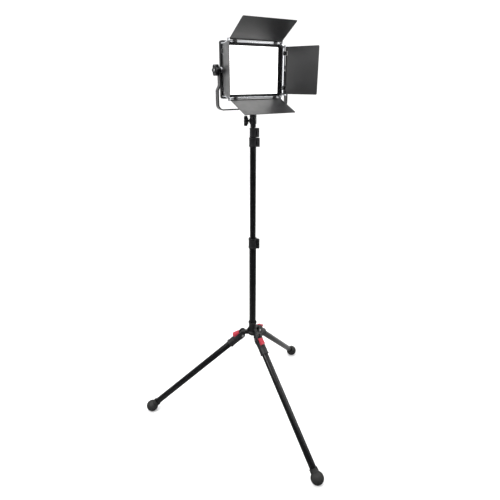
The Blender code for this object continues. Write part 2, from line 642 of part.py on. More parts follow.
def make_case():
    """The case, its bezel and what is inside: diffuser, LED board and driver board."""
    front = BEZEL_THICK + GAP
    case = piece("rear_housing", loft_case(CASE_HALF, CASE_DEPTH - front, CASE_TAPER, front))
    inner = (CASE_HALF[0] - CASE_WALL, CASE_HALF[1] - CASE_WALL)
    hollow = loft_case(inner, CASE_DEPTH - front - CASE_WALL, CASE_TAPER, front)
    for v in hollow.verts:
        if v.co.y < front + GAP:
            v.co.y -= OVER
    cut(case, hollow)
    place(case, head, BLACK_PLASTIC)
    corner = 0.008
    piece("front_bezel", bracket(
        rounded(*CASE_HALF, corner), rounded(*WINDOW_HALF, WINDOW_CORNER), 0, BEZEL_THICK),
        BLACK_PLASTIC, head)
    glass = (WINDOW_HALF[0] + DIFFUSER_LAP, WINDOW_HALF[1] + DIFFUSER_LAP)
    for name, depth, half, thick, finish in (
            ("diffuser", front, glass, DIFFUSER_THICK, WHITE_PLASTIC),
            ("led_board", 0.0095, WINDOW_HALF, BOARD_THICK, WHITE_PLASTIC),
            ("driver_board", 0.0220, (0.060, 0.045), BOARD_THICK, CIRCUIT)):
        piece(name, extrude(rounded(*half, 0.003, 3), depth, depth + thick, "Y"), finish, head)


def make_back():
    """What the user reaches at the back: panel, screen, dials, switch, inlet, battery plates."""
    back = CASE_DEPTH + GAP
    face = back + PANEL_THICK
    panel = piece("control_panel", extrude(rounded(*PANEL_HALF, 0.005), back, face, "Y"))
    inlet = (0.020, -0.045)
    inlet_r = 0.0055
    switch = (-0.012, -0.045)
    cut(panel, moved(cylinder(inlet_r + GAP, 0, face + OVER, "Y", 24), x=inlet[0], z=inlet[1]),
        moved(block((-0.0105, 0, -0.0072), (0.0105, face + OVER, 0.0072)), x=switch[0], z=switch[1]))
    place(panel, head, BLACK_PLASTIC)
    screen = extrude(rounded(0.024, 0.013, 0.002, 3, (0, 0.040)), face + GAP, face + 0.0015, "Y")
    piece("display_window", screen, DARK_GLASS, head)
    socket = turn([(0.0026, 0.0006), (inlet_r, 0.0006), (inlet_r, 0.005), (0.0032, 0.005),
                   (0.0032, 0.0015), (0.0026, 0.0015)], "Y", 24)
    piece("dc_socket", moved(socket, x=inlet[0], y=back, z=inlet[1]), BLACK_PLASTIC, head)
    for name, x in (("brightness_dial", -0.017), ("colour_dial", 0.017)):
        axis = empty(f"{name}_axis", HEAD @ Matrix.Translation((x, face + GAP, -0.005)))
        piece(name, cylinder(DIAL_R, 0, DIAL_TALL, "Y", 28, 0.0012), BLACK_PLASTIC, axis)
    rocker = [(-0.0092, 0.0004), (0.0092, 0.0004), (0.0092, 0.0030), (0, 0.0042), (-0.0092, 0.0048)]
    rock = empty("power_switch_axis", HEAD @ Matrix.Translation((switch[0], face - 0.0015, switch[1])))
    piece("power_switch", extrude(rocker, -0.0062, 0.0062, "Z"), BLACK_PLASTIC, rock)
    for name, side in (("left", -1), ("right", 1)):
        plate = piece(f"battery_plate_{name}", extrude(
            rounded(*PLATE_HALF, 0.003, 4, (side * PLATE_U, 0)), back, back + PLATE_THICK, "Y"))
        channel = block((side * PLATE_U - 0.016, back + PLATE_THICK - 0.003, -PLATE_HALF[1] + 0.012),
                        (side * PLATE_U + 0.016, back + PLATE_THICK + OVER, PLATE_HALF[1] + OVER))
        cut(plate, channel)
        place(plate, head, BLACK_PLASTIC)


# ---- barn doors -------------------------------------------------------------------------
def octagon(half_x, half_z, corner):
    points = []
    for sx, sz in ((1, 1), (-1, 1), (-1, -1), (1, -1)):
        pair = [(sx * half_x, sz * (half_z - corner[1])), (sx * (half_x - corner[0]), sz * half_z)]
        points += pair if sx * sz > 0 else pair[::-1]
    return points


def make_door_frame():
    """The silver bars in front of the bezel, on feet, with lugs that hold the hinge rods."""
    half = (SIDE_HINGE_U - BARREL_R - 0.0005, CAP_HINGE_Z - BARREL_R - 0.0005)
    t = BAND_THICK
    front = -(SIDE_HINGE_S - 0.0014)
    inner = octagon(half[0] - t, half[1] - t, (BAND_CORNER[0] - t * 0.5, BAND_CORNER[1] - t * 0.5))
    rear = front + BAND_DEEP
    band = piece("door_frame", bracket(octagon(*half, BAND_CORNER), inner, front, rear))
    inset = t / 4
    for sx in (-1, 1):
        for sz in (-1, 1):
            x = sx * CLIP_U
            tall = sorted((sz * (half[1] - inset), sz * (half[1] - t + inset)))
            join(band, block((x - CLIP_LONG / 2, rear - inset, tall[0]), (x + CLIP_LONG / 2, -GAP, tall[1])))
            z = sz * CLIP_Z
            wide = sorted((sx * (half[0] - inset), sx * (half[0] - t + inset)))
            join(band, block((wide[0], rear - inset, z - CLIP_LONG / 2), (wide[1], -GAP, z + CLIP_LONG / 2)))
    for sx in (-1, 1):
        for sz in (-1, 1):
            start = CAP_DOOR[0] + GAP
            low = sorted((sx * start, sx * (start + LUG_LONG)))
            tall = sorted((sz * (half[1] - 0.007), sz * (CAP_HINGE_Z + BARREL_R)))
            join(band, block((low[0], -CAP_HINGE_S - BARREL_R, tall[0]),
                             (low[1], front + 0.006, tall[1])))
            start = SIDE_DOOR[0] + GAP
            tall = sorted((sz * start, sz * (start + LUG_LONG)))
            wide = sorted((sx * (half[0] - 0.010), sx * (SIDE_HINGE_U + BARREL_R)))
            join(band, block((wide[0], -SIDE_HINGE_S - BARREL_R, tall[0]),
                             (wide[1], front + 0.006, tall[1])))
    place(band, head, SILVER)


def make_doors():
    """Four doors on hinge rods: each is a sheet rolled round its rod."""
    doors = (
        ("top", (0, -CAP_HINGE_S, CAP_HINGE_Z), (1, 0, 0),
         (0, -math.cos(TOP_OPEN), math.sin(TOP_OPEN)), CAP_DOOR),
        ("bottom", (0, -CAP_HINGE_S, -CAP_HINGE_Z), (1, 0, 0),
         (0, -math.cos(BOTTOM_OPEN), -math.sin(BOTTOM_OPEN)), CAP_DOOR),
        ("left", (-SIDE_HINGE_U, -SIDE_HINGE_S, 0), (0, 0, 1),
         (-math.sin(SIDE_OPEN), -math.cos(SIDE_OPEN), 0), SIDE_DOOR),
        ("right", (SIDE_HINGE_U, -SIDE_HINGE_S, 0), (0, 0, 1),
         (math.sin(SIDE_OPEN), -math.cos(SIDE_OPEN), 0), SIDE_DOOR))
    for name, origin, along, out, (half, long) in doors:
        axis = empty(f"door_{name}_axis", HEAD @ basis(origin, along, out))
        r = DOOR_CORNER_R
        start = (BARREL_R + ROD_R) / 2
        outline = [(-half, start), (half, start), *arc((half - r, long - r), r, 0, math.pi / 2, 5),
                   *arc((r - half, long - r), r, math.pi / 2, math.pi, 5)]
        door = piece(f"door_{name}", tube(BARREL_R, ROD_R + GAP, -half, half, "X", 16))
        join(door, extrude(outline, -SHEET / 2, SHEET / 2))
        place(door, axis, BLACK_PAINT)
        piece(f"hinge_rod_{name}", cylinder(ROD_R, -half, half, "X", 12), SILVER, axis)


make_hub()
make_pole()
make_legs()
make_receiver()
make_yoke()
make_pivots()
make_case()
make_back()
make_door_frame()
make_doors()
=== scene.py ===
# %% [markdown]
# # A lit LED panel on its stand
# The light is a flat case with a glowing window, four barn doors on a silver frame, and a yoke that tilts.
# It stands on a telescoping pole with three folding legs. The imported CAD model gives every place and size,
# so this lesson only makes the surfaces better: rounder tubes, softer edges, screws, ribs and real finishes.

# %% Load the frame
import json
import math

import bmesh
import bpy
from mathutils import Matrix, Vector


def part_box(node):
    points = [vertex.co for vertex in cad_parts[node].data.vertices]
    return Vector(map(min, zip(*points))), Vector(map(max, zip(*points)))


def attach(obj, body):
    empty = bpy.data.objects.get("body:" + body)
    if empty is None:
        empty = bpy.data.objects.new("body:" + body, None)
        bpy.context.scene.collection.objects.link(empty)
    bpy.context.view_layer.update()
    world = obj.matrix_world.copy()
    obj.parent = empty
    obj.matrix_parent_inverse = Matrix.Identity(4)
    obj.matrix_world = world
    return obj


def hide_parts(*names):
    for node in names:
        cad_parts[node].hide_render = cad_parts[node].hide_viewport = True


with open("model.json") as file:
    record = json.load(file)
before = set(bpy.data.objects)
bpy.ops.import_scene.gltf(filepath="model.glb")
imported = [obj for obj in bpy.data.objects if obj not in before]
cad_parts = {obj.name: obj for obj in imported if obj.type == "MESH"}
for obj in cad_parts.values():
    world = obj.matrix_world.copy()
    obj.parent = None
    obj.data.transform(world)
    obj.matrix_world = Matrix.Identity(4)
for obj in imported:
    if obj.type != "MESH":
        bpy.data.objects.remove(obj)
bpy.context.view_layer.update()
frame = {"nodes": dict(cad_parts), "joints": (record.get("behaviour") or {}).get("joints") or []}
scene = bpy.context.scene
joints = {joint["name"]: joint for joint in frame["joints"]}

# %% [markdown]
# Every moving piece of the lamp turns about a joint, so the joints are the best landmarks to build from.
# One matrix puts local X, Y and Z on the pole, one on the lamp head and one on each leg.
# Pieces are modelled in those simple local frames, and the matrix is then baked into the mesh.

# %% Landmarks
def joint_at(name):
    return Vector(joints[name]["pos_m"])


pole = Vector((*joint_at("bracket_pan").xy, 0))
head = joint_at("head_tilt")
POLE = Matrix.Translation(pole)
HEAD = Matrix.Translation(head)


def basis(origin, x_axis, y_axis):
    x = x_axis.normalized()
    y = (y_axis - x * y_axis.dot(x)).normalized()
    turned = Matrix((x, y, x.cross(y))).transposed().to_4x4()
    return Matrix.Translation(origin) @ turned


def middle(node):
    low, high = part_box(node)
    return (low + high) / 2


LEGS = {}
for k in (1, 2, 3):
    pin = joint_at(f"leg_{k}_fold")
    pin_way = -Vector(joints[f"leg_{k}_fold"]["axis"])
    upper_way = -Vector(joints[f"leg_{k}_button"]["axis"])
    LEGS[k] = basis(pin, pin_way.cross(upper_way), pin_way)
    print("leg", k, "pin", [round(v, 3) for v in pin])

# %% [markdown]
# The camera stands at eye height, a little to the lamp's right-hand side, and looks down at the stand.
# A normal lens keeps the whole stand in the frame without bending it.

# %% Camera
CAMERA_AWAY = 1.680
CAMERA_TALL = 1.575
CAMERA_SIDE = math.radians(-33.75)
LOOK_DOWN = math.radians(22.41)
LOOK_ASIDE = math.radians(0.41)
LENS = 29.91
SENSOR = 36.0

camera_data = bpy.data.cameras.new("camera")
camera_data.lens = LENS
camera_data.sensor_width = SENSOR
camera_data.dof.use_dof = False
camera = bpy.data.objects.new("camera", camera_data)
scene.collection.objects.link(camera)
walk = Matrix.Rotation(CAMERA_SIDE, 4, "Z") @ Matrix.Translation((0, -CAMERA_AWAY, CAMERA_TALL))
aim = Matrix.Rotation(LOOK_ASIDE, 4, "Z") @ Matrix.Rotation(math.pi / 2 - LOOK_DOWN, 4, "X")
camera.matrix_world = POLE @ walk @ aim
scene.camera = camera
print("camera at", [round(v, 3) for v in camera.matrix_world.translation])

# %% [markdown]
# A studio sweep is one pale sheet that runs from the floor up behind the object, with no corner to see.
# Here it is a turned dish: flat under the stand, then curving up all round, so it works from any side.
# The Standard view transform keeps its white as white, which a product picture needs.
# Photographers hang black cloth near the camera, so that black parts reflect it and stay black. Here the
# paper itself does that: in reflections only, it is dark on the camera's side.

# %% Sweep, world and lights
SWEEP_FLAT = 5.0
SWEEP_CURVE = 2.0
SWEEP_WALL = 5.0
MERGE = 0.000002        # points closer than this become one
DARK_FADE = (-3.5, 1.5) # metres towards the camera where the dark side starts and is full


def added(tree, kind, values=None, **settings):
    """A new node. Its settings come first, because they decide which inputs it shows."""
    node = tree.nodes.new(kind)
    for label, value in settings.items():
        setattr(node, label, value)
    for label, value in (values or {}).items():
        node.inputs[label].default_value = value
    return node


def wire(tree, *links):
    """Joins sockets. Each link is (node, output, node, input)."""
    for source, output, target, entry in links:
        tree.links.new(source.outputs[output], target.inputs[entry])


def simple_material(name, colour, roughness):
    made = bpy.data.materials.new(name)
    made.use_nodes = True
    shader = made.node_tree.nodes["Principled BSDF"]
    shader.inputs["Base Color"].default_value = (*colour, 1)
    shader.inputs["Roughness"].default_value = roughness
    return made


def arc(centre, radius, start, end, count):
    step = (end - start) / count
    return [(centre[0] + radius * math.cos(start + step * i), centre[1] + radius * math.sin(start + step * i))
            for i in range(count + 1)]


def turned_mesh(profile, steps, closed=True):
    """A turned bmesh from (radius, height) points. A closed profile makes a solid ring or a plug."""
    bm = bmesh.new()
    points = [bm.verts.new((r, 0, h)) for r, h in profile]
    pairs = list(zip(points, points[1:] + points[:1] if closed else points[1:]))
    edges = [bm.edges.new(p) for p in pairs if max(abs(p[0].co.x), abs(p[1].co.x)) > 0]
    bmesh.ops.spin(bm, geom=points + edges, cent=(0, 0, 0), axis=(0, 0, 1), angle=math.tau,
                   steps=steps, use_merge=True)
    bmesh.ops.remove_doubles(bm, verts=bm.verts, dist=MERGE)
    return bm


sweep_profile = [(0, 0), (SWEEP_FLAT, 0)]
sweep_profile += arc((SWEEP_FLAT, SWEEP_CURVE), SWEEP_CURVE, -math.pi / 2, 0, 12)[1:]
sweep_profile.append((SWEEP_FLAT + SWEEP_CURVE, SWEEP_WALL))
sweep_bm = turned_mesh(sweep_profile, 96, closed=False)
sweep_mesh = bpy.data.meshes.new("sweep")
sweep_bm.to_mesh(sweep_mesh)
sweep_mesh.shade_smooth()
sweep = bpy.data.objects.new("sweep", sweep_mesh)
scene.collection.objects.link(sweep)


def sweep_paper(name, dark_way, paper=0.93, black=0.02):
    """Pale paper that shines back as a black cloth from one side only, so black parts stay black."""
    made = simple_material(name, (paper,) * 3, 0.9)
    tree = made.node_tree
    place = tree.nodes.new("ShaderNodeTexCoord")
    along_way = added(tree, "ShaderNodeVectorMath", {1: dark_way}, operation="DOT_PRODUCT")
    side = added(tree, "ShaderNodeMapRange", {"From Min": DARK_FADE[0], "From Max": DARK_FADE[1]},
                 interpolation_type="SMOOTHSTEP")
    ray = tree.nodes.new("ShaderNodeLightPath")
    both = added(tree, "ShaderNodeMath", operation="MULTIPLY")
    mix = added(tree, "ShaderNodeMix", {"A": (paper, paper, paper, 1), "B": (black, black, black, 1)},
                data_type="RGBA")
    wire(tree, (place, "Object", along_way, 0), (along_way, "Value", side, "Value"),
         (side, "Result", both, 0), (ray, "Is Glossy Ray", both, 1), (both, "Value", mix, "Factor"))
    tree.links.new(mix.outputs["Result"], tree.nodes["Principled BSDF"].inputs["Base Color"])
    return made


front_way = (math.sin(CAMERA_SIDE), -math.cos(CAMERA_SIDE), 0)
sweep.data.materials.append(sweep_paper("sweep_paper", front_way))

scene.view_settings.view_transform = "Standard"
world = bpy.data.worlds.new("studio")
world.use_nodes = True
world.node_tree.nodes["Background"].inputs["Color"].default_value = (1, 1, 1, 1)
world.node_tree.nodes["Background"].inputs["Strength"].default_value = 1.05
scene.world = world


def soft_light(name, place, target, size, power):
    data = bpy.data.lights.new(name, "AREA")
    data.shape = "RECTANGLE"
    data.size, data.size_y = size
    data.energy = power
    light = bpy.data.objects.new(name, data)
    scene.collection.objects.link(light)
    light.location = place
    light.rotation_euler = (Vector(target) - Vector(place)).to_track_quat("-Z", "Y").to_euler()
    return light


chest = pole + Vector((0, 0, 0.9))
soft_light("key", pole + Vector((-2.6, -0.4, 3.0)), chest, (1.6, 2.2), 90)
soft_light("fill", pole + Vector((2.4, -2.2, 2.2)), chest, (1.2, 2.4), 40)
soft_light("overhead", pole + Vector((0.2, 0.4, 4.2)), chest, (3.0, 3.0), 70)
print("sweep", len(sweep.data.polygons), "faces; three soft lights")

# %% [markdown]
# Most pieces are either turned, like a pot on a wheel, or extruded, like dough through a die.
# Both start from an outline. Real parts have no knife edges, so one function eases the corners
# of an outline, and another rounds the sharp edges of a finished mesh before it meets others.

# %% Shape helpers
HIDDEN = 0.004          # how far a cutter stands proud of what it cuts
ROUND_STEPS = 64
SHARP_EDGE = 0.75       # radians between two faces, past which their edge is softened
CREASE = math.radians(35)


def span(node, matrix):
    """Lowest and highest corner of a CAD node, measured in a local frame."""
    made = frame["nodes"][node]
    to_local = matrix.inverted() @ made.matrix_world
    points = [to_local @ v.co for v in made.data.vertices]
    return (Vector([min(p[i] for p in points) for i in range(3)]),
            Vector([max(p[i] for p in points) for i in range(3)]))


def eased(outline, radius, count=3, turned=False):
    """Rounds the corners of a closed outline, as far as the edges beside them allow."""
    points = [Vector(p) for p in outline]
    made = []
    for i, here in enumerate(points):
        back, ahead = points[i - 1] - here, points[(i + 1) % len(points)] - here
        bend = math.pi - back.angle(ahead)
        if bend < 0.3 or (turned and here.x == 0):
            made.append(tuple(here))
            continue
        reach = min(radius * math.tan(bend / 2), back.length * 0.45, ahead.length * 0.45)
        start, end = here + back.normalized() * reach, here + ahead.normalized() * reach
        for j in range(count + 1):
            t = j / count
            made.append(tuple(start.lerp(here, t).lerp(here.lerp(end, t), t)))
    return made


def rounded(half_x, half_y, radius, count=6, centre=(0, 0)):
    """The outline of a rectangle with rounded corners."""
    points = []
    for quarter, (sx, sy) in enumerate(((1, 1), (-1, 1), (-1, -1), (1, -1))):
        spot = (centre[0] + sx * (half_x - radius), centre[1] + sy * (half_y - radius))
        points += arc(spot, radius, quarter * math.pi / 2, (quarter + 1) * math.pi / 2, count)
    return points


def along(bm, axis):
    """Turns a mesh that was made about Z so that it is about another axis."""
    if axis == "X":
        bmesh.ops.rotate(bm, verts=bm.verts, matrix=Matrix.Rotation(math.pi / 2, 3, "Y"))
    if axis == "Y":
        bmesh.ops.rotate(bm, verts=bm.verts, matrix=Matrix.Rotation(-math.pi / 2, 3, "X"))
    return bm


def moved(bm, x=0.0, y=0.0, z=0.0, matrix=None):
    if matrix:
        bmesh.ops.transform(bm, matrix=matrix, verts=bm.verts)
    bmesh.ops.translate(bm, verts=bm.verts, vec=(x, y, z))
    return bm


def turned(profile, axis="Z", steps=ROUND_STEPS, ease=0.0):
    points = eased(profile, ease, turned=True) if ease else profile
    return along(turned_mesh(points, steps), axis)


def disc(radius, low, high, axis="Z", ease=0.0, steps=ROUND_STEPS):
    return turned([(0, low), (radius, low), (radius, high), (0, high)], axis, steps, ease)


def soften(bm, width, segments=2):
    """Rounds the edges where two faces meet at more than half a right angle."""
    bmesh.ops.remove_doubles(bm, verts=bm.verts, dist=MERGE)
    sharp = [e for e in bm.edges if len(e.link_faces) == 2 and e.calc_face_angle(0) > SHARP_EDGE]
    bmesh.ops.bevel(bm, geom=sharp, offset=width, segments=segments, affect="EDGES", profile=0.5,
                    clamp_overlap=True)
    return bm


def extruded(outline, low, high, axis="Z", soft=0.0):
    """A straight prism. The outline is (x, y) for Z, (x, z) for Y and (y, z) for X."""
    spots = {"Z": lambda p, h: (p[0], p[1], h),
             "Y": lambda p, h: (p[0], h, p[1]),
             "X": lambda p, h: (h, p[0], p[1])}[axis]
    bm = bmesh.new()
    ends = [[bm.verts.new(spots(p, h)) for p in outline] for h in (low, high)]
    for i in range(len(outline)):
        bm.faces.new((ends[0][i - 1], ends[0][i], ends[1][i], ends[1][i - 1]))
    bm.faces.new(ends[0])
    bm.faces.new(ends[1])
    return soften(bm, soft) if soft else bm


def block(low, high, soft=0.0):
    corners = [(low[0], low[1]), (high[0], low[1]), (high[0], high[1]), (low[0], high[1])]
    return extruded(corners, low[2], high[2], soft=soft)


def hexagon(radius):
    return arc((0, 0), radius, 0, math.tau, 6)[1:]


def lofted(loops, ring=False):
    """Skin over loops of points with equal counts. A ring joins the last loop to the first."""
    bm = bmesh.new()
    rows = [[bm.verts.new(p) for p in loop] for loop in loops]
    for a, b in zip(rows, rows[1:] + rows[:1] if ring else rows[1:]):
        for i in range(len(a)):
            bm.faces.new((a[i - 1], a[i], b[i], b[i - 1]))
    if not ring:
        bm.faces.new(rows[0])
        bm.faces.new(rows[-1])
    return bm


def mirrored(bm, axis):
    flip = Matrix.Scale(-1, 4, {"X": (1, 0, 0), "Y": (0, 1, 0), "Z": (0, 0, 1)}[axis])
    bmesh.ops.transform(bm, matrix=flip, verts=bm.verts)
    return bm


def gathered(*parts):
    """Several meshes as one, without joining their surfaces."""
    whole = bmesh.new()
    for part in parts:
        loose = bpy.data.meshes.new("loose")
        bmesh.ops.recalc_face_normals(part, faces=part.faces)
        part.to_mesh(loose)
        part.free()
        whole.from_mesh(loose)
        bpy.data.meshes.remove(loose)
    return whole


def temporary(bm):
    bmesh.ops.remove_doubles(bm, verts=bm.verts, dist=MERGE)
    bmesh.ops.recalc_face_normals(bm, faces=bm.faces)
    mesh = bpy.data.meshes.new("temporary")
    bm.to_mesh(mesh)
    bm.free()
    made = bpy.data.objects.new("temporary", mesh)
    scene.collection.objects.link(made)
    return made


def evaluated(made):
    """A bmesh of an object with its modifiers applied. The object is then removed."""
    bpy.context.view_layer.update()
    graph = bpy.context.evaluated_depsgraph_get()
    mesh = bpy.data.meshes.new_from_object(made.evaluated_get(graph))
    bm = bmesh.new()
    bm.from_mesh(mesh)
    bpy.data.objects.remove(made)
    bpy.data.meshes.remove(mesh)
    return bm


def combined(bm, operation, tools):
    """A Boolean with each tool in turn: UNION joins a shape and DIFFERENCE cuts it away."""
    for tool in tools:
        target, other = temporary(bm), temporary(tool)
        step = target.modifiers.new("boolean", "BOOLEAN")
        step.operation = operation
        step.solver = "EXACT"
        step.object = other
        bm = evaluated(target)
        bpy.data.objects.remove(other)
    return bm


def joined(bm, *tools):
    return combined(bm, "UNION", tools)


def cut(bm, *tools):
    return combined(bm, "DIFFERENCE", tools)


def piece(name, bm, finish, body, slot, *nodes, place=None):
    """A finished piece: its place goes into the mesh, and it stands for the CAD nodes named."""
    if place:
        bmesh.ops.transform(bm, matrix=place, verts=bm.verts)
    bmesh.ops.remove_doubles(bm, verts=bm.verts, dist=MERGE)
    bmesh.ops.recalc_face_normals(bm, faces=bm.faces)
    mesh = bpy.data.meshes.new(name)
    bm.to_mesh(mesh)
    bm.free()
    mesh.shade_smooth()
    mesh.set_sharp_from_angle(angle=CREASE)
    made = bpy.data.objects.new(name, mesh)
    scene.collection.objects.link(made)
    mesh.materials.append(finish)
    if nodes:
        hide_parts(*nodes)
    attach(made, body)
    return made


print("lower tube spans", [[round(v, 4) for v in corner] for corner in span("lower_tube", POLE)])

# %% [markdown]
# Up close no surface is flat and even. Moulded plastic has a fine grain, drawn tube has faint lines
# along it, and everything has dust on top and places that are a little shinier from handling.
# Each effect is a small node group with named inputs, so every material can use it in its own strength.

# %% Surface groups
def shader_group(name, inputs, outputs):
    tree = bpy.data.node_groups.new(name, "ShaderNodeTree")
    for label, kind, value in inputs:
        tree.interface.new_socket(label, in_out="INPUT", socket_type=kind).default_value = value
    for label, kind in outputs:
        tree.interface.new_socket(label, in_out="OUTPUT", socket_type=kind)
    return tree, tree.nodes.new("NodeGroupInput"), tree.nodes.new("NodeGroupOutput")


def fine_grain():
    """A bumped grain, the same in all directions."""
    tree, given, result = shader_group(
        "fine_grain", [("Scale", "NodeSocketFloat", 900.0), ("Depth", "NodeSocketFloat", 0.2)],
        [("Normal", "NodeSocketVector")])
    spot = tree.nodes.new("ShaderNodeTexCoord")
    noise = added(tree, "ShaderNodeTexNoise", {"Detail": 3})
    bump = added(tree, "ShaderNodeBump", {"Distance": 0.0002})
    wire(tree, (spot, "Object", noise, "Vector"), (given, "Scale", noise, "Scale"),
         (given, "Depth", bump, "Strength"), (noise, "Fac", bump, "Height"),
         (bump, "Normal", result, "Normal"))
    return tree


def drawn_lines():
    """Faint lines along one direction, as on drawn tube or brushed strip."""
    tree, given, result = shader_group(
        "drawn_lines", [("Stretch", "NodeSocketVector", (900.0, 900.0, 12.0)),
                        ("Depth", "NodeSocketFloat", 0.1)],
        [("Normal", "NodeSocketVector")])
    spot = tree.nodes.new("ShaderNodeTexCoord")
    scaled = added(tree, "ShaderNodeVectorMath", operation="MULTIPLY")
    noise = added(tree, "ShaderNodeTexNoise", {"Scale": 1.0, "Detail": 2})
    bump = added(tree, "ShaderNodeBump", {"Distance": 0.0001})
    wire(tree, (spot, "Object", scaled, 0), (given, "Stretch", scaled, 1),
         (scaled, "Vector", noise, "Vector"), (given, "Depth", bump, "Strength"),
         (noise, "Fac", bump, "Height"),
         (bump, "Normal", result, "Normal"))
    return tree


def handling():
    """A slow drift between two roughness values, from hands and cloths."""
    tree, given, result = shader_group(
        "handling", [("Scale", "NodeSocketFloat", 22.0), ("Polished", "NodeSocketFloat", 0.3),
                     ("Dull", "NodeSocketFloat", 0.5)],
        [("Roughness", "NodeSocketFloat")])
    spot = tree.nodes.new("ShaderNodeTexCoord")
    noise = added(tree, "ShaderNodeTexNoise", {"Detail": 5, "Roughness": 0.65})
    ramp = added(tree, "ShaderNodeMapRange", {"From Min": 0.3, "From Max": 0.7})
    wire(tree, (spot, "Object", noise, "Vector"), (given, "Scale", noise, "Scale"),
         (noise, "Fac", ramp, "Value"), (given, "Polished", ramp, "To Min"),
         (given, "Dull", ramp, "To Max"), (ramp, "Result", result, "Roughness"))
    return tree


def settled_dust():
    """A mask of dust, thicker on faces that look up, in soft patches."""
    tree, given, result = shader_group(
        "settled_dust", [("Amount", "NodeSocketFloat", 0.1)], [("Mask", "NodeSocketFloat")])
    spot = tree.nodes.new("ShaderNodeTexCoord")
    parts = tree.nodes.new("ShaderNodeSeparateXYZ")
    upward = added(tree, "ShaderNodeMapRange", {"From Min": -0.2, "To Min": 0.1})
    patches = added(tree, "ShaderNodeTexNoise", {"Scale": 130.0, "Detail": 6})
    both = added(tree, "ShaderNodeMath", operation="MULTIPLY")
    scaled = added(tree, "ShaderNodeMath", operation="MULTIPLY")
    wire(tree, (spot, "Normal", parts, "Vector"), (parts, "Z", upward, "Value"),
         (spot, "Object", patches, "Vector"), (upward, "Result", both, 0), (patches, "Fac", both, 1),
         (both, "Value", scaled, 0), (given, "Amount", scaled, 1), (scaled, "Value", result, "Mask"))
    return tree


GROUPS = {tree.name: tree for tree in (fine_grain(), drawn_lines(), handling(), settled_dust())}
print("surface groups", sorted(GROUPS))

# %% [markdown]
# Black is the hard colour: the eye tells anodised tube, moulded plastic, painted strip and rubber apart
# only by how they shine. So the blacks differ in roughness, grain and specular level, not in colour.

# %% Materials
DUST_COLOUR = (0.30, 0.29, 0.27)


def use_group(tree, name, **values):
    node = added(tree, "ShaderNodeGroup", node_tree=GROUPS[name])
    for label, value in values.items():
        node.inputs[label].default_value = value
    return node


def surface(name, colour, polished, dull, metallic=0.0, specular=0.5, grain=None, lines=None, dust=0.0):
    """A Principled material whose roughness drifts, with a grain or lines, and some dust."""
    made = bpy.data.materials.new(name)
    made.use_nodes = True
    tree = made.node_tree
    shader = tree.nodes["Principled BSDF"]
    shader.inputs["Metallic"].default_value = metallic
    shader.inputs["Specular IOR Level"].default_value = specular
    drift = use_group(tree, "handling", Polished=polished, Dull=dull)
    wire(tree, (drift, "Roughness", shader, "Roughness"))
    if grain:
        fine = use_group(tree, "fine_grain", Scale=grain[0], Depth=grain[1])
        wire(tree, (fine, "Normal", shader, "Normal"))
    if lines:
        drawn = use_group(tree, "drawn_lines", Stretch=lines[0], Depth=lines[1])
        wire(tree, (drawn, "Normal", shader, "Normal"))
    mix = added(tree, "ShaderNodeMix", {"A": (*colour, 1), "B": (*DUST_COLOUR, 1)}, data_type="RGBA")
    dusty = use_group(tree, "settled_dust", Amount=dust)
    wire(tree, (dusty, "Mask", mix, "Factor"), (mix, "Result", shader, "Base Color"))
    return made


UPRIGHT = (1400.0, 1400.0, 6.0)
ACROSS = (8.0, 1500.0, 1500.0)
anodised = surface("anodised_tube", (0.003, 0.003, 0.0035), 0.18, 0.26, specular=0.30,
                   lines=(UPRIGHT, 0.06), dust=0.012)
moulded = surface("moulded_plastic", (0.006, 0.006, 0.007), 0.36, 0.48, specular=0.32,
                  grain=(1500.0, 0.25), dust=0.03)
smooth_plastic = surface("smooth_plastic", (0.005, 0.005, 0.006), 0.24, 0.36, specular=0.32,
                         grain=(2500.0, 0.08), dust=0.02)
painted = surface("black_paint_coat", (0.004, 0.004, 0.005), 0.28, 0.40, specular=0.30,
                  grain=(700.0, 0.12), dust=0.02)
alloy = surface("black_alloy_turned", (0.008, 0.008, 0.009), 0.20, 0.30, specular=0.5,
                lines=(UPRIGHT, 0.04), dust=0.01)
sheet_coat = surface("door_coat", (0.010, 0.010, 0.011), 0.34, 0.44, specular=0.45,
                     grain=(1100.0, 0.10), dust=0.015)
rubber = surface("foot_rubber", (0.008, 0.008, 0.008), 0.55, 0.72, specular=0.28,
                 grain=(600.0, 0.3), dust=0.06)
red = surface("red_plastic_moulding", (0.36, 0.018, 0.035), 0.30, 0.42, specular=0.5,
              grain=(1800.0, 0.12), dust=0.01)
steel = surface("bright_steel_turned", (0.62, 0.62, 0.63), 0.20, 0.34, metallic=1.0,
                lines=(ACROSS, 0.08))
silver = surface("silver_strip", (0.52, 0.53, 0.55), 0.24, 0.36, metallic=1.0,
                 lines=(ACROSS, 0.12), dust=0.01)
board = surface("circuit_board_coat", (0.03, 0.16, 0.07), 0.30, 0.45, grain=(300.0, 0.1))
white_board = surface("led_board_white", (0.75, 0.75, 0.72), 0.40, 0.55, grain=(300.0, 0.1))
glass = surface("screen_cover", (0.006, 0.007, 0.009), 0.06, 0.12, specular=0.5)
ink = surface("printed_ink", (0.70, 0.70, 0.68), 0.45, 0.60)
gold = surface("gold_contact", (0.85, 0.62, 0.28), 0.18, 0.28, metallic=1.0)


def glowing(name, colour, strength):
    """A lit surface: its glow is even, because a diffuser hides the lamps behind it."""
    made = surface(name, colour, 0.35, 0.5)
    shader = made.node_tree.nodes["Principled BSDF"]
    shader.inputs["Emission Color"].default_value = (*colour, 1)
    shader.inputs["Emission Strength"].default_value = strength
    return made


lit_window = glowing("lit_diffuser", (1.0, 0.995, 0.985), 1.9)
lit_digits = glowing("lit_digits", (0.35, 0.75, 1.0), 1.2)
print("materials", len(bpy.data.materials))

# %% [markdown]
# Some details repeat: ribs round a dial, slots in a grid, ridges in a row. Geometry Nodes make them from
# a few named numbers, so one tree serves many pieces. The result is turned into a plain mesh at once.

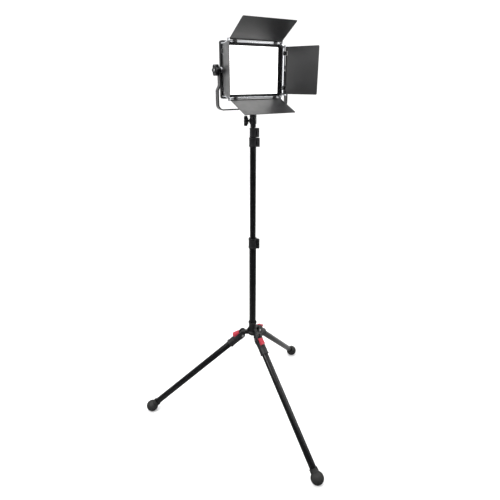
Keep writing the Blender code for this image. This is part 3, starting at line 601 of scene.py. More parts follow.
# %% Repeats with Geometry Nodes
def geometry_tree(name, inputs):
    tree = bpy.data.node_groups.new(name, "GeometryNodeTree")
    for label, kind, value in inputs:
        tree.interface.new_socket(label, in_out="INPUT", socket_type=kind).default_value = value
    tree.interface.new_socket("Finish", in_out="INPUT", socket_type="NodeSocketMaterial")
    tree.interface.new_socket("Geometry", in_out="OUTPUT", socket_type="NodeSocketGeometry")
    return tree, tree.nodes.new("NodeGroupInput"), tree.nodes.new("NodeGroupOutput")


def end_tree(tree, given, result, instances):
    real = tree.nodes.new("GeometryNodeRealizeInstances")
    coat = tree.nodes.new("GeometryNodeSetMaterial")
    tree.links.new(instances, real.inputs["Geometry"])
    wire(tree, (real, "Geometry", coat, "Geometry"), (given, "Finish", coat, "Material"),
         (coat, "Geometry", result, "Geometry"))
    return tree


def ring_of_ribs():
    """Upright ribs evenly round the Z axis. Rib is (depth, width, length)."""
    tree, given, result = geometry_tree("ring_of_ribs", [
        ("Count", "NodeSocketInt", 24), ("Radius", "NodeSocketFloat", 0.01),
        ("Rib", "NodeSocketVector", (0.001, 0.001, 0.01))])
    circle = tree.nodes.new("GeometryNodeMeshCircle")
    cube = tree.nodes.new("GeometryNodeMeshCube")
    spot = tree.nodes.new("GeometryNodeInputPosition")
    outward = added(tree, "FunctionNodeAlignRotationToVector", axis="X")
    copies = tree.nodes.new("GeometryNodeInstanceOnPoints")
    wire(tree, (given, "Count", circle, "Vertices"), (given, "Radius", circle, "Radius"),
         (given, "Rib", cube, "Size"), (spot, "Position", outward, "Vector"),
         (circle, "Mesh", copies, "Points"), (cube, "Mesh", copies, "Instance"),
         (outward, "Rotation", copies, "Rotation"))
    return end_tree(tree, given, result, copies.outputs["Instances"])


def grid_of_blocks():
    """Blocks in columns along X and rows along Y, round the origin."""
    tree, given, result = geometry_tree("grid_of_blocks", [
        ("Columns", "NodeSocketInt", 3), ("Rows", "NodeSocketInt", 3),
        ("Wide", "NodeSocketFloat", 0.02), ("Tall", "NodeSocketFloat", 0.02),
        ("Block", "NodeSocketVector", (0.001, 0.001, 0.001))])
    grid = tree.nodes.new("GeometryNodeMeshGrid")
    cube = tree.nodes.new("GeometryNodeMeshCube")
    copies = tree.nodes.new("GeometryNodeInstanceOnPoints")
    wire(tree, (given, "Columns", grid, "Vertices X"), (given, "Rows", grid, "Vertices Y"),
         (given, "Wide", grid, "Size X"), (given, "Tall", grid, "Size Y"),
         (given, "Block", cube, "Size"), (grid, "Mesh", copies, "Points"),
         (cube, "Mesh", copies, "Instance"))
    return end_tree(tree, given, result, copies.outputs["Instances"])


def row_of_ridges():
    """Half-round ridges in a row along X. Each lies along Y."""
    tree, given, result = geometry_tree("row_of_ridges", [
        ("Count", "NodeSocketInt", 5), ("Step", "NodeSocketFloat", 0.003),
        ("Radius", "NodeSocketFloat", 0.0006), ("Long", "NodeSocketFloat", 0.01)])
    step = tree.nodes.new("ShaderNodeCombineXYZ")
    row = tree.nodes.new("GeometryNodeMeshLine")
    rod = added(tree, "GeometryNodeMeshCylinder", {"Vertices": 12})
    lie = added(tree, "GeometryNodeTransform", {"Rotation": (math.pi / 2, 0, 0)})
    copies = tree.nodes.new("GeometryNodeInstanceOnPoints")
    wire(tree, (given, "Step", step, "X"), (given, "Count", row, "Count"),
         (step, "Vector", row, "Offset"), (given, "Radius", rod, "Radius"),
         (given, "Long", rod, "Depth"), (rod, "Mesh", lie, "Geometry"), (row, "Mesh", copies, "Points"),
         (lie, "Geometry", copies, "Instance"))
    return end_tree(tree, given, result, copies.outputs["Instances"])


TREES = {tree.name: tree for tree in (ring_of_ribs(), grid_of_blocks(), row_of_ridges())}


def grown(tree_name, finish, **values):
    """What a tree makes from the given values, as a bmesh."""
    seed = bpy.data.objects.new("seed", bpy.data.meshes.new("seed"))
    scene.collection.objects.link(seed)
    step = seed.modifiers.new("grow", "NODES")
    step.node_group = TREES[tree_name]
    for item in TREES[tree_name].interface.items_tree:
        if item.in_out == "INPUT" and item.name in values:
            step[item.identifier] = values[item.name]
        if item.in_out == "INPUT" and item.name == "Finish":
            step[item.identifier] = finish
    return evaluated(seed)


print("trees", sorted(TREES))

# %% [markdown]
# The pole is four aluminium tubes, each sliding in the one below. A tube is drawn through a die, cut to
# length and its ends are eased so that they don't scratch. The wall is thin, as on the real thing.

# %% Pole tubes
TUBE_WALL = 0.0015
GAP = 0.0003            # between parts that are fixed together
RUN = 0.0006            # between parts that move
WAIST_DEEP = 0.0018
WAIST_RISES = (0.0177, 0.0207, 0.0337, 0.0367)  # the spigot's waist, above its shoulder


def tube_mesh(radius, low, high, axis="Z"):
    inside = radius - TUBE_WALL
    ends = [(inside, low), (radius, low), (radius, high), (inside, high)]
    return turned(ends, axis, ease=0.0005)


for node, body in (("lower_tube", "stand_base"), ("middle_tube", "middle_section"),
                   ("upper_tube", "upper_section"), ("top_tube", "top_section")):
    low, high = span(node, POLE)
    piece(f"{node}_drawn", tube_mesh(high.x, low.z, high.z), anodised, body, "black_anodised", node,
          place=POLE)

low, high = span("spigot_stud", POLE)
stud_r = high.x
plug_r = stud_r - TUBE_WALL - GAP
shoulder = span("top_tube", POLE)[1].z + GAP
waist_r = stud_r - WAIST_DEEP
above = [shoulder + rise for rise in WAIST_RISES]
stud = turned([(0, low.z), (plug_r, low.z), (plug_r, shoulder), (stud_r, shoulder),
               (stud_r, above[0]), (waist_r, above[1]), (waist_r, above[2]), (stud_r, above[3]),
               (stud_r, high.z), (0, high.z)], ease=0.0008)
piece("spigot_stud_turned", stud, alloy, "top_section", "black_alloy", "spigot_stud", place=POLE)

# %% [markdown]
# A flip clamp has a collar that the lower tube is glued into, and a lever that squeezes the collar's top.
# The lever turns on a pin between two lugs, and wraps round the collar when it is closed. Its tip
# stands off a little, for a finger, and has ridges for grip.

# %% Flip clamps
CLAMP_WALL = 0.0035
LEVER_THICK = 0.006
LEVER_SWEEP = math.radians(92)
LUG_TALL = 0.005
CLAMP_LIP = 0.008


def clamp_pieces(name, base_tube, slide_tube, body, lever_body):
    low, high = span(f"{name}_collar", POLE)
    tall = high.z - low.z
    around = span(base_tube, POLE)[1].x
    slides = span(slide_tube, POLE)[1].x
    hinge = joint_at(f"{name.split('_')[0]}_lever_flip")
    offset = hinge.xy - pole.xy
    mid = offset.length
    azimuth = math.atan2(offset.y, offset.x)
    outer = around + CLAMP_WALL
    lug_r = mid - outer - RUN
    groove = 0.0006
    band = tall * 0.16
    collar = turned([
        (around + GAP, 0), (outer, 0), (outer, band), (outer - groove, band + groove),
        (outer - groove, tall - band - groove), (outer, tall - band), (outer, tall),
        (slides + RUN, tall), (slides + RUN, tall - CLAMP_LIP + GAP),
        (around + GAP, tall - CLAMP_LIP + GAP)], ease=0.0009)
    out = Vector((math.cos(azimuth), math.sin(azimuth)))
    side = Vector((-out.y, out.x))
    pivot = out * mid
    lug = [tuple(out * around - side * lug_r),
           *arc(pivot, lug_r, azimuth - math.pi / 2, azimuth + math.pi / 2, 20),
           tuple(out * around + side * lug_r)]
    lugs = [extruded(lug, bottom, bottom + LUG_TALL - 0.0004, soft=0.0005)
            for bottom in (0.0002, tall - LUG_TALL + 0.0002)]
    collar = joined(collar, *lugs)
    pins = [moved(disc(lug_r * 0.45, z, z + 0.0006, ease=0.0002, steps=32), *pivot)
            for z in (-0.0002, tall - 0.0004)]
    seat = POLE @ Matrix.Translation((0, 0, low.z))
    piece(f"{name}_collar_moulded", collar, moulded, body, "black_plastic", f"{name}_collar",
          place=seat)
    piece(f"{name}_hinge_pin", gathered(*pins), steel, body, "bright_steel", place=seat)

    inner = outer + RUN
    half = LEVER_THICK / 2
    tip = azimuth + LEVER_SWEEP
    end = ((inner + half + 0.002) * math.cos(tip), (inner + half + 0.002) * math.sin(tip))
    outline = (arc((0, 0), inner, tip, azimuth, 24)
               + arc(pivot, lug_r, azimuth + math.pi, azimuth + math.tau, 16)[1:-1]
               + arc((0, 0), mid + lug_r, azimuth, azimuth + 0.2, 4)
               + arc((0, 0), inner + LEVER_THICK, azimuth + 0.5, tip - 0.25, 12)
               + arc(end, half + 0.002, tip, tip + math.pi / 2, 6))
    outline = [(x - pivot.x, y - pivot.y) for x, y in outline]
    reach = tall / 2 - LUG_TALL - GAP
    lever = extruded(outline, -reach, reach, soft=0.0008)
    ridges = grown("row_of_ridges", moulded, Count=4, Step=0.0022, Radius=0.0007, Long=2 * reach - 0.006)
    ridge_spot = azimuth + LEVER_SWEEP * 0.62
    face = (inner + LEVER_THICK) * Vector((math.cos(ridge_spot), math.sin(ridge_spot)))
    turn = Matrix.Rotation(ridge_spot + math.pi / 2, 4, "Z") @ Matrix.Rotation(math.pi / 2, 4, "X")
    moved(ridges, x=-0.0033)
    moved(ridges, matrix=Matrix.Translation((face.x - pivot.x, face.y - pivot.y, 0)) @ turn)
    piece(f"{name}_lever_moulded", gathered(lever, ridges), smooth_plastic, lever_body, "black_plastic",
          f"{name}_lever", place=Matrix.Translation(hinge))


clamp_pieces("lower_clamp", "lower_tube", "middle_tube", "stand_base", "lower_lever")
clamp_pieces("middle_clamp", "middle_tube", "upper_tube", "middle_section", "middle_lever")
clamp_pieces("upper_clamp", "upper_tube", "top_tube", "upper_section", "upper_lever")

# %% [markdown]
# The hub is one casting: a sleeve for the lowest tube with a ring at its top, and a tongue for each leg.
# A web above each tongue carries the leg's bending load up into the sleeve, as on a real casting.

# %% Leg hub
PIN_R = 0.004
TONGUE_THICK = 0.014
TONGUE_R = 0.0085
HUB_R = 0.0235
SLEEVE_R = 0.0175
WEB = (0.029, 0.026, 0.008)   # reach, height above the pins and thickness


def hub_mesh():
    """Everything is measured from the height of the legs' pins."""
    low, high = (corner.z - joint_at("leg_1_fold").z for corner in span("leg_hub", POLE))
    ring_r = 0.0195
    bore = span("lower_tube", POLE)[1].x + GAP
    body_top = 0.005
    hub = turned([
        (0, low), (HUB_R - 0.008, low), (HUB_R, low + 0.008), (HUB_R, body_top),
        (SLEEVE_R, body_top + 0.002), (SLEEVE_R, high - 0.009), (ring_r, high - 0.008),
        (ring_r, high - 0.0052), (ring_r - 0.0007, high - 0.0048), (ring_r - 0.0007, high - 0.0040),
        (ring_r, high - 0.0036), (ring_r, high), (bore, high), (bore, low + 0.007), (0, low + 0.007)],
        ease=0.0012)
    pin_reach = (joint_at("leg_1_fold").xy - pole.xy).length
    root = (HUB_R + bore) / 2
    tongue_side = [(root, -TONGUE_R), *arc((pin_reach, 0), TONGUE_R, -math.pi / 2, math.pi / 2, 24),
                   (root, TONGUE_R)]
    reach, rise, thick = WEB
    web_root = (SLEEVE_R + bore) / 2
    web_side = [(web_root, 0), (reach, 0), (reach, TONGUE_R - GAP), (SLEEVE_R + 0.001, rise),
                (web_root, rise)]
    for k in (1, 2, 3):
        fold = joint_at(f"leg_{k}_fold")
        spin = Matrix.Rotation(math.atan2(fold.y - pole.y, fold.x - pole.x), 4, "Z")
        tongue = extruded(tongue_side, -TONGUE_THICK / 2, TONGUE_THICK / 2, "Y", soft=0.0012)
        web = extruded(web_side, -thick / 2, thick / 2, "Y", soft=0.0008)
        hub = joined(hub, moved(tongue, matrix=spin), moved(web, matrix=spin))
        hole = moved(disc(PIN_R + GAP, -TONGUE_THICK, TONGUE_THICK, "Y", steps=32), x=pin_reach)
        hub = cut(hub, moved(hole, matrix=spin))
    return hub


piece("leg_hub_cast", hub_mesh(), moulded, "stand_base", "black_plastic", "leg_hub",
      place=POLE @ Matrix.Translation((0, 0, joint_at("leg_1_fold").z)))
print("hub done")

# %% [markdown]
# Each leg is a forked socket on the hub's tongue, with a bright bolt at the fork's root, a tube and a
# soft ball foot. Pressing the red button frees the lock, so the leg can fold up along the pole.
# The three legs are the same, so each piece is modelled once and placed three times.

# %% Legs
EAR_R = 0.012
SOCKET_R = 0.019
BOLT_SPOT = (0.0074, -0.0095)
BOLT_R = 0.0065
SHANK_R = 0.003
SLOT_END = 0.0105
FORK_HALF = 0.016
SKIRT = 0.0015          # how far the ring at the socket's mouth stands out
BUTTON_WIDE = 0.019


def hull(circles):
    """The outline round some circles, each (x, y, radius), as one convex loop."""
    points = sorted({(round(p[0], 7), round(p[1], 7))
                     for x, y, r in circles for p in arc((x, y), r, 0, math.tau, 48)[1:]})
    loops = []
    for order in (points, points[::-1]):
        loop = []
        for p in order:
            while len(loop) > 1 and ((loop[-1][0] - loop[-2][0]) * (p[1] - loop[-2][1])
                                     <= (loop[-1][1] - loop[-2][1]) * (p[0] - loop[-2][0])):
                loop.pop()
            loop.append(p)
        loops += loop[:-1]
    return loops


tube_low, tube_high = span("leg_tube_1", LEGS[1])
LEG_AXIS = (tube_low.z + tube_high.z) / 2
LEG_R = (tube_high.z - tube_low.z) / 2
button_low, button_high = span("release_button_1", LEGS[1])
socket_end = span("leg_socket_1", LEGS[1])[1].x


def socket_mesh():
    slot = TONGUE_THICK / 2 + GAP
    start = BOLT_SPOT[0]
    socket = turned([
        (0, start), (SOCKET_R, start), (SOCKET_R, socket_end - 0.034),
        (SOCKET_R - 0.0007, socket_end - 0.033), (SOCKET_R - 0.0007, socket_end - 0.031),
        (SOCKET_R, socket_end - 0.030), (SOCKET_R, socket_end - 0.007),
        (SOCKET_R + SKIRT, socket_end - 0.0055), (SOCKET_R + SKIRT, socket_end), (0, socket_end)],
        "X", ease=0.0012)
    socket = moved(socket, z=LEG_AXIS)
    fork = extruded(hull([(0, 0, EAR_R), (*BOLT_SPOT, BOLT_R + 0.004), (0.024, LEG_AXIS, SOCKET_R - 0.004)]),
                    -FORK_HALF, FORK_HALF, "Y", soft=0.0012)
    socket = joined(socket, fork)
    bores = [disc(PIN_R + GAP, -0.03, 0.03, "Y", steps=32),
             moved(disc(SHANK_R + GAP, -0.03, 0.03, "Y", steps=32), x=BOLT_SPOT[0], z=BOLT_SPOT[1]),
             moved(disc(LEG_R + GAP, tube_low.x - 0.001, socket_end + HIDDEN, "X"), z=LEG_AXIS)]
    for side in (-1, 1):
        seat = disc(BOLT_R + RUN, *sorted((side * FORK_HALF, side * 0.03)), "Y", steps=48)
        bores.append(moved(seat, x=BOLT_SPOT[0], z=BOLT_SPOT[1]))
    pocket = block((button_low.x - RUN, -BUTTON_WIDE / 2 - RUN, button_low.z - 0.0035),
                   (button_high.x + RUN, BUTTON_WIDE / 2 + RUN, 0.03))
    return cut(socket, block((-0.03, -slot, -0.05), (SLOT_END, slot, 0.03)), *bores, pocket)


def foot_mesh():
    """The ball is turned about the leg's axis, with a neck round the tube and a parting line."""
    low, high = span("foot_1", LEGS[1])
    radius = (high.y - low.y) / 2
    centre = high.x - radius
    neck = LEG_R + GAP + 0.0032
    seam = 0.0005
    first = math.pi - math.asin(neck / radius)
    ball = [(radius * math.sin(a), centre + radius * math.cos(a))
            for a in (first - first * i / 40 for i in range(40))]
    ball = [(r - seam if abs(x - centre) < 0.0012 else r, x) for r, x in ball]
    start = low.x
    ribs = [(neck, start), (neck, start + 0.004), (neck - 0.0006, start + 0.0046),
            (neck - 0.0006, start + 0.0058), (neck, start + 0.0064)]
    foot = turned([(LEG_R + GAP, start), *ribs, *ball, (0, centre + radius),
                   (0, centre - 0.010), (LEG_R + GAP, centre - 0.010)], "X", ease=0.0006)
    return moved(foot, z=LEG_AXIS)


def bolt_mesh():
    """A bolt through the fork, with a low head and a hexagon socket at each end."""
    head = FORK_HALF + GAP
    top = head + 0.002
    socket_r = 0.0030
    half = [(0, 0), (SHANK_R, 0), (SHANK_R, head), (BOLT_R, head), (BOLT_R, top), (0, top)]
    ends = []
    for side in (1, -1):
        end = turned(half, "Y", steps=48, ease=0.0007)
        end = cut(end, extruded(hexagon(socket_r), top - 0.0012, top + HIDDEN, "Y"))
        ends.append(end if side > 0 else mirrored(end, "Y"))
    return moved(gathered(*ends), x=BOLT_SPOT[0], z=BOLT_SPOT[1])


def button_mesh():
    """A wedge that rises away from the pin, with ridges for the thumb."""
    low, high = button_low, button_high
    near = SOCKET_R + LEG_AXIS + 0.0035
    flat = high.x - 0.008
    side = [(low.x, low.z), (high.x, low.z), (high.x, high.z), (flat, high.z), (low.x, near)]
    button = extruded(eased(side, 0.0014, 4), -BUTTON_WIDE / 2, BUTTON_WIDE / 2, "Y", soft=0.0012)
    ridges = grown("row_of_ridges", red, Count=6, Step=0.0032, Radius=0.0007, Long=BUTTON_WIDE - 0.005)
    slope = math.atan2(high.z - near, flat - low.x)
    tilt = Matrix.Translation((low.x + 0.0035, 0, near + 0.0035 * math.tan(slope) - 0.0001))
    return gathered(button, moved(ridges, matrix=tilt @ Matrix.Rotation(-slope, 4, "Y")))


leg_shapes = {
    "leg_socket": (socket_mesh(), moulded, "black_plastic", "moulded"),
    "leg_tube": (moved(tube_mesh(LEG_R, tube_low.x, tube_high.x, "X"), z=LEG_AXIS), anodised,
                 "black_anodised", "drawn"),
    "foot": (foot_mesh(), rubber, "black_rubber", "moulded"),
    "leg_bolt": (bolt_mesh(), steel, "bright_steel", "turned"),
    "release_button": (button_mesh(), red, "red_plastic", "moulded"),
    "leg_pin": (disc(PIN_R, -FORK_HALF, FORK_HALF, "Y", ease=0.0008, steps=32), painted,
                "black_paint", "turned")}
for k in (1, 2, 3):
    riders = {"release_button": f"leg_button_{k}", "leg_pin": "stand_base"}
    for name, (shape, finish, slot_name, made) in leg_shapes.items():
        piece(f"{name}_{k}_{made}", shape.copy(), finish, riders.get(name, f"leg_{k}"), slot_name,
              f"{name}_{k}", place=LEGS[k])

# %% [markdown]
# The lamp's bracket is a socket that drops over the stand's 16 mm spigot, with a knob that clamps it.
# A knob like this is moulded round a screw: its lobes give grip, its face is dished, and a cap
# hides the screw's end. The same knob clamps the yoke on each side of the lamp.

# %% Receiver and knobs
RECEIVER_R = 0.0135
KNOB_R = 0.021
KNOB_LOBES = 6
STUD_R = 0.004


def lobed_loop(x, radius, depth):
    """A loop round the X axis whose radius swings between the lobes and the dips."""
    count = KNOB_LOBES * 16
    loop = []
    for i in range(count):
        angle = math.tau * i / count
        r = radius - depth + depth * math.cos(KNOB_LOBES * angle)
        loop.append((x, r * math.cos(angle), r * math.sin(angle)))
    return loop


def knob_mesh(thick, bore_deep):
    """The knob from its hub at 0 outwards along X: a collar, the lobed grip and a dished face."""
    lobe = 0.0022
    rings = [(0, 0.0125, 0.0003), (0.0026, 0.0130, 0.0003), (0.0034, KNOB_R - 0.0028, lobe * 0.7),
             (0.0042, KNOB_R - 0.0008, lobe), (0.0056, KNOB_R, lobe), (thick - 0.0030, KNOB_R, lobe),
             (thick - 0.0014, KNOB_R - 0.0009, lobe), (thick - 0.0003, KNOB_R - 0.0030, lobe),
             (thick, KNOB_R - 0.0048, lobe), (thick - 0.0004, KNOB_R - 0.0062, lobe * 0.6),
             (thick - 0.0022, KNOB_R - 0.0075, 0.0004), (thick - 0.0024, 0.0085, 0.0),
             (thick - 0.0008, 0.0082, 0.0), (thick - 0.0003, 0.0074, 0.0)]
    knob = lofted([lobed_loop(*ring) for ring in rings])
    return cut(knob, disc(STUD_R + GAP, -HIDDEN, bore_deep, "X", steps=32)) if bore_deep else knob


def receiver_mesh():
    low, high = span("spigot_receiver", POLE)
    bore = span("spigot_stud", POLE)[1].x + GAP
    bore_top = span("spigot_stud", POLE)[1].z + 0.002
    r = RECEIVER_R
    neck = bore - GAP + 0.0032
    groove = 0.0009
    rings = []
    for z in (low.z + 0.0140, low.z + 0.0345, high.z - 0.010):
        rings += [(r, z), (r - groove, z + groove), (r - groove, z + 2 * groove), (r, z + 3 * groove)]
    body = turned([(0, bore_top), (bore, bore_top), (bore, low.z), (neck, low.z),
                   (neck, low.z + 0.011), (r, low.z + 0.0125), *rings, (r, high.z),
                   (0, high.z)], ease=0.0009)
    boss = disc(0.0078, 0.009, RECEIVER_R + 0.0024, "X", ease=0.0008, steps=48)
    knob_height = joint_at("receiver_knob_turn").z
    turn = Matrix.Translation((0, 0, knob_height)) @ KNOB_TURN
    body = joined(body, moved(boss, matrix=turn))
    screw_hole = disc(STUD_R + GAP, bore - 0.001, r + HIDDEN, "X", steps=32)
    bolt_hole = disc(STUD_R + GAP, bore_top + 0.003, high.z + HIDDEN, steps=32)
    return cut(body, moved(screw_hole, matrix=turn), bolt_hole)


knob_axis = Vector(joints["receiver_knob_turn"]["axis"])
KNOB_TURN = Matrix.Rotation(math.atan2(knob_axis.y, knob_axis.x), 4, "Z")
piece("spigot_receiver_turned", receiver_mesh(), alloy, "bracket", "black_alloy", "spigot_receiver",
      place=POLE)
knob_place = Matrix.Translation((pole.x, pole.y, joint_at("receiver_knob_turn").z)) @ KNOB_TURN
screw_low, screw_high = span("receiver_knob", knob_place)
knob_thick = 0.017
screw = disc(STUD_R, screw_low.x, screw_high.x - knob_thick + 0.002, "X", ease=0.0004, steps=32)
grip = moved(knob_mesh(knob_thick, 0), x=screw_high.x - knob_thick)
piece("receiver_knob_moulded", gathered(screw, grip), smooth_plastic, "receiver_clamp_knob",
      "black_plastic", "receiver_knob", place=knob_place)


def cap_screw(name, x, place, body):
    """A small socket screw in the middle of a knob's cap."""
    head = disc(0.0036, x - 0.0010, x + 0.0003, "X", ease=0.0004, steps=40)
    head = cut(head, extruded(hexagon(0.0018), x - 0.0004, x + HIDDEN, "X"))
    piece(name, head, steel, body, "bright_steel", place=place)


cap_screw("receiver_knob_screw", screw_high.x - 0.0003, knob_place, "receiver_clamp_knob")
for side, name, body in ((-1, "left", "tilt_knob_l"), (1, "right", "tilt_knob_r")):
    start = joint_at(f"tilt_knob_{name}_turn")
    turn = Matrix.Rotation(math.pi if side < 0 else 0, 4, "Z")
    place = Matrix.Translation(start) @ turn
    piece(f"tilt_knob_{name}_moulded", knob_mesh(knob_thick, 0.011), smooth_plastic, body,
          "black_plastic", f"tilt_knob_{name}", place=place)
    cap_screw(f"tilt_knob_{name}_screw", knob_thick - 0.0003, place, body)
    low, high = span(f"tilt_stud_{name}", HEAD @ turn)
    flange = 0.0065
    washer = turned([(0, low.x), (0.011, low.x), (0.011, low.x + flange), (STUD_R, low.x + flange),
                     (STUD_R, high.x), (0, high.x)], "X", ease=0.0007)
    piece(f"tilt_stud_{name}_turned", washer, steel, "lamp_head", "bright_steel",
          f"tilt_stud_{name}", place=HEAD @ turn)

# %% [markdown]
# The yoke is one flat steel strip. It is cut, drilled, bent cold round a former and then painted,
# so its thickness stays the same all along and its edges are only slightly rounded.

# %% Yoke
YOKE_THICK = 0.003
YOKE_WIDE = 0.020
YOKE_END_R = 0.012
YOKE_BEND_R = 0.020
YOKE_JOG_Z = (-0.050, -0.067)
YOKE_TOP_HALF = 0.146   # tilt axis to the middle of the strip at the pivots


def strip(path, half):
    """The outline of a strip of even thickness along a path."""
    sides = ([], [])
    for i, here in enumerate(path):
        ways = [(b - a).normalized() for a, b in zip(path[max(i - 1, 0):i + 1], path[i:i + 2])]
        ways = [way for way in ways if way.length > 0] or [(path[1] - path[0]).normalized()]
        if i == 0:
            ways = [(path[1] - path[0]).normalized()]
        if i == len(path) - 1:
            ways = [(path[-1] - path[-2]).normalized()]
        normals = [Vector((-way.y, way.x)) for way in ways]
        mid = sum(normals, Vector((0, 0))).normalized()
        reach = half / mid.dot(normals[0])
        sides[0].append(tuple(here + mid * reach))
        sides[1].append(tuple(here - mid * reach))
    return sides[0] + sides[1][::-1]


def yoke_mesh():
    low, high = span("yoke", HEAD)
    half = YOKE_THICK / 2
    wide = high.x - half
    bottom = low.z + half
    top = YOKE_TOP_HALF
    r = YOKE_BEND_R
    high_jog, low_jog = YOKE_JOG_Z
    right = [(top, 0), (top, high_jog + 0.003), (top + 0.0006, high_jog - 0.002),
             (wide - 0.0006, low_jog + 0.002), (wide, low_jog - 0.003), (wide, bottom + r)]
    right += arc((wide - r, bottom + r), r, 0, -math.pi / 2, 16)[1:]
    path = [Vector((-x, z)) for x, z in right] + [Vector(p) for p in right[::-1]]
    yoke = extruded(strip(path, half), -YOKE_WIDE / 2, YOKE_WIDE / 2, "Y", soft=0.0007)
    for side in (-1, 1):
        near, far = sorted((side * (top - half), side * (top + half)))
        yoke = joined(yoke, disc(YOKE_END_R, near, far, "X", ease=0.0007))
        yoke = cut(yoke, disc(STUD_R + RUN, near - HIDDEN, far + HIDDEN, "X", steps=32))
    return cut(yoke, disc(STUD_R + RUN, bottom - HIDDEN, bottom + HIDDEN, steps=32))


piece("yoke_bent", yoke_mesh(), painted, "bracket", "black_paint", "yoke", place=HEAD)
low, high = span("yoke_bolt", POLE)
bolt = turned([(0, low.z), (STUD_R, low.z), (STUD_R, high.z - 0.0057), (0.009, high.z - 0.0057),
               (0.009, high.z - 0.0045), (0.0075, high.z - 0.0043), (0.0075, high.z), (0, high.z)],
              ease=0.0006)
bolt = cut(bolt, extruded(hexagon(0.0032), high.z - 0.0025, high.z + HIDDEN))
piece("yoke_bolt_turned", bolt, steel, "bracket", "bright_steel", "yoke_bolt", place=POLE)
print("yoke done")

# %% [markdown]
# The lamp's case is a moulded tray. Its sides draw in towards the back so that it leaves the mould.
# A white board of lamps sits inside, a milky diffuser spreads their light, and a bezel holds it.
# Slots at the back let the warm air out.

# %% Lamp case
CASE_WALL = 0.0024
CASE_TAPER = 0.020
CASE_CORNER = 0.008


def flat_loop(half_x, half_z, corner, y, count=8):
    return [(x, y, z) for x, z in rounded(half_x, half_z, corner, count)]


def case_mesh():
    low, high = span("rear_housing", HEAD)
    depth = high.y - low.y
    wall = CASE_WALL
    fillet = 0.004
    rows = ((0.0, 0.0, 0.0), (0.30, 0.0, 0.0), (0.34, 0.04, 0.0), (1 - fillet / depth, 0.93, 0.0),
            (1 - fillet / depth * 0.35, 0.98, 0.35), (1.0, 1.0, 1.0))
    outside = []
    inside = []
    for drop, shrink, round_in in rows:
        pull = CASE_TAPER * shrink + fillet * round_in * 0.6
        outside.append(flat_loop(high.x - pull, high.z - pull * 0.7, CASE_CORNER, low.y + depth * drop))
    for drop, shrink in ((0.0, 0.0), (0.30, 0.0), (1.0, 1.0)):
        pull = wall + CASE_TAPER * shrink
        inside.append(flat_loop(high.x - pull, high.z - pull * 0.7 - wall * 0.3, CASE_CORNER - wall,
                                low.y + (depth - wall) * drop))
    case = lofted(inside[::-1] + outside)
    seam = 0.0005
    groove_y = low.y + depth * 0.16
    ring = lofted([flat_loop(high.x + HIDDEN, high.z + HIDDEN, CASE_CORNER + HIDDEN, groove_y),
                   flat_loop(high.x - seam, high.z - seam, CASE_CORNER - seam, groove_y),
                   flat_loop(high.x - seam, high.z - seam, CASE_CORNER - seam, groove_y + 0.0008),
                   flat_loop(high.x + HIDDEN, high.z + HIDDEN, CASE_CORNER + HIDDEN, groove_y + 0.0008)],
                  ring=True)
    slot_size = (0.020, 0.0016, 4 * wall)
    tools = [ring]
    for side_x in (-1, 1):
        for side_z in (-1, 1):
            slots = grown("grid_of_blocks", moulded, Columns=2, Rows=5, Wide=0.026, Tall=0.016,
                          Block=slot_size)
            tools.append(moved(along(slots, "Y"), x=side_x * 0.078, y=high.y, z=side_z * 0.056))
    return cut(case, *tools)


piece("case_moulded", case_mesh(), moulded, "lamp_head", "black_plastic", "rear_housing", place=HEAD)

low, high = span("front_bezel", HEAD)
window = (span("led_board", HEAD)[1].x, span("led_board", HEAD)[1].z)
lip = 0.0011
bezel_rings = [(high.x, high.z, CASE_CORNER, high.y), (high.x, high.z, CASE_CORNER, low.y + lip),
               (high.x - lip * 0.3, high.z - lip * 0.3, CASE_CORNER, low.y + lip * 0.3),
               (high.x - lip, high.z - lip, CASE_CORNER, low.y),
               (window[0] + 0.0026, window[1] + 0.0026, 0.0044, low.y),
               (window[0] + 0.0012, window[1] + 0.0012, 0.0031, low.y + 0.0005),
               (window[0], window[1], 0.0020, low.y + 0.0019), (window[0], window[1], 0.0020, high.y)]
bezel = lofted([flat_loop(x, z, corner, y) for x, z, corner, y in bezel_rings], ring=True)
piece("bezel_moulded", bezel, smooth_plastic, "lamp_head", "black_plastic", "front_bezel", place=HEAD)

low, high = span("diffuser", HEAD)
sheet = lofted([flat_loop(high.x, high.z, 0.0015, high.y), flat_loop(high.x, high.z, 0.0015, low.y + 0.0004),
                flat_loop(high.x - 0.0004, high.z - 0.0004, 0.0015, low.y)])
piece("diffuser_sheet", sheet, lit_window, "lamp_head", "diffuser_white", "diffuser", place=HEAD)
for node, finish in (("led_board", white_board), ("driver_board", board)):
    frame["nodes"][node].data.materials.clear()
    frame["nodes"][node].data.materials.append(finish)

# %% [markdown]
# The user works at the back: a screen, two dials, a switch, a power inlet and two plates for batteries.
# A dial is easier to turn with ribs round its rim, and its pointer shows where it stands.

# %% Back panel
low, high = span("control_panel", HEAD)
face_y = high.y
dc_low, dc_high = span("dc_socket", HEAD)
inlet = ((dc_low.x + dc_high.x) / 2, (dc_low.z + dc_high.z) / 2)
inlet_r = (dc_high.x - dc_low.x) / 2
rocker_low, rocker_high = span("power_switch", HEAD)
rocker = ((rocker_low.x + rocker_high.x) / 2, (rocker_low.z + rocker_high.z) / 2)
screen_low, screen_high = span("display_window", HEAD)
panel = extruded(rounded(high.x, high.z, 0.005, 8), low.y, face_y, "Y", soft=0.0008)
panel = cut(panel, moved(disc(inlet_r + GAP, 0, face_y + HIDDEN, "Y", steps=40), x=inlet[0], z=inlet[1]),
            block((rocker[0] - 0.0105, 0, rocker[1] - 0.0072), (rocker[0] + 0.0105, face_y + HIDDEN,
                                                                rocker[1] + 0.0072)))
piece("control_panel_moulded", panel, moulded, "lamp_head", "black_plastic", "control_panel", place=HEAD)
screen_half = ((screen_high.x - screen_low.x) / 2, (screen_high.z - screen_low.z) / 2)
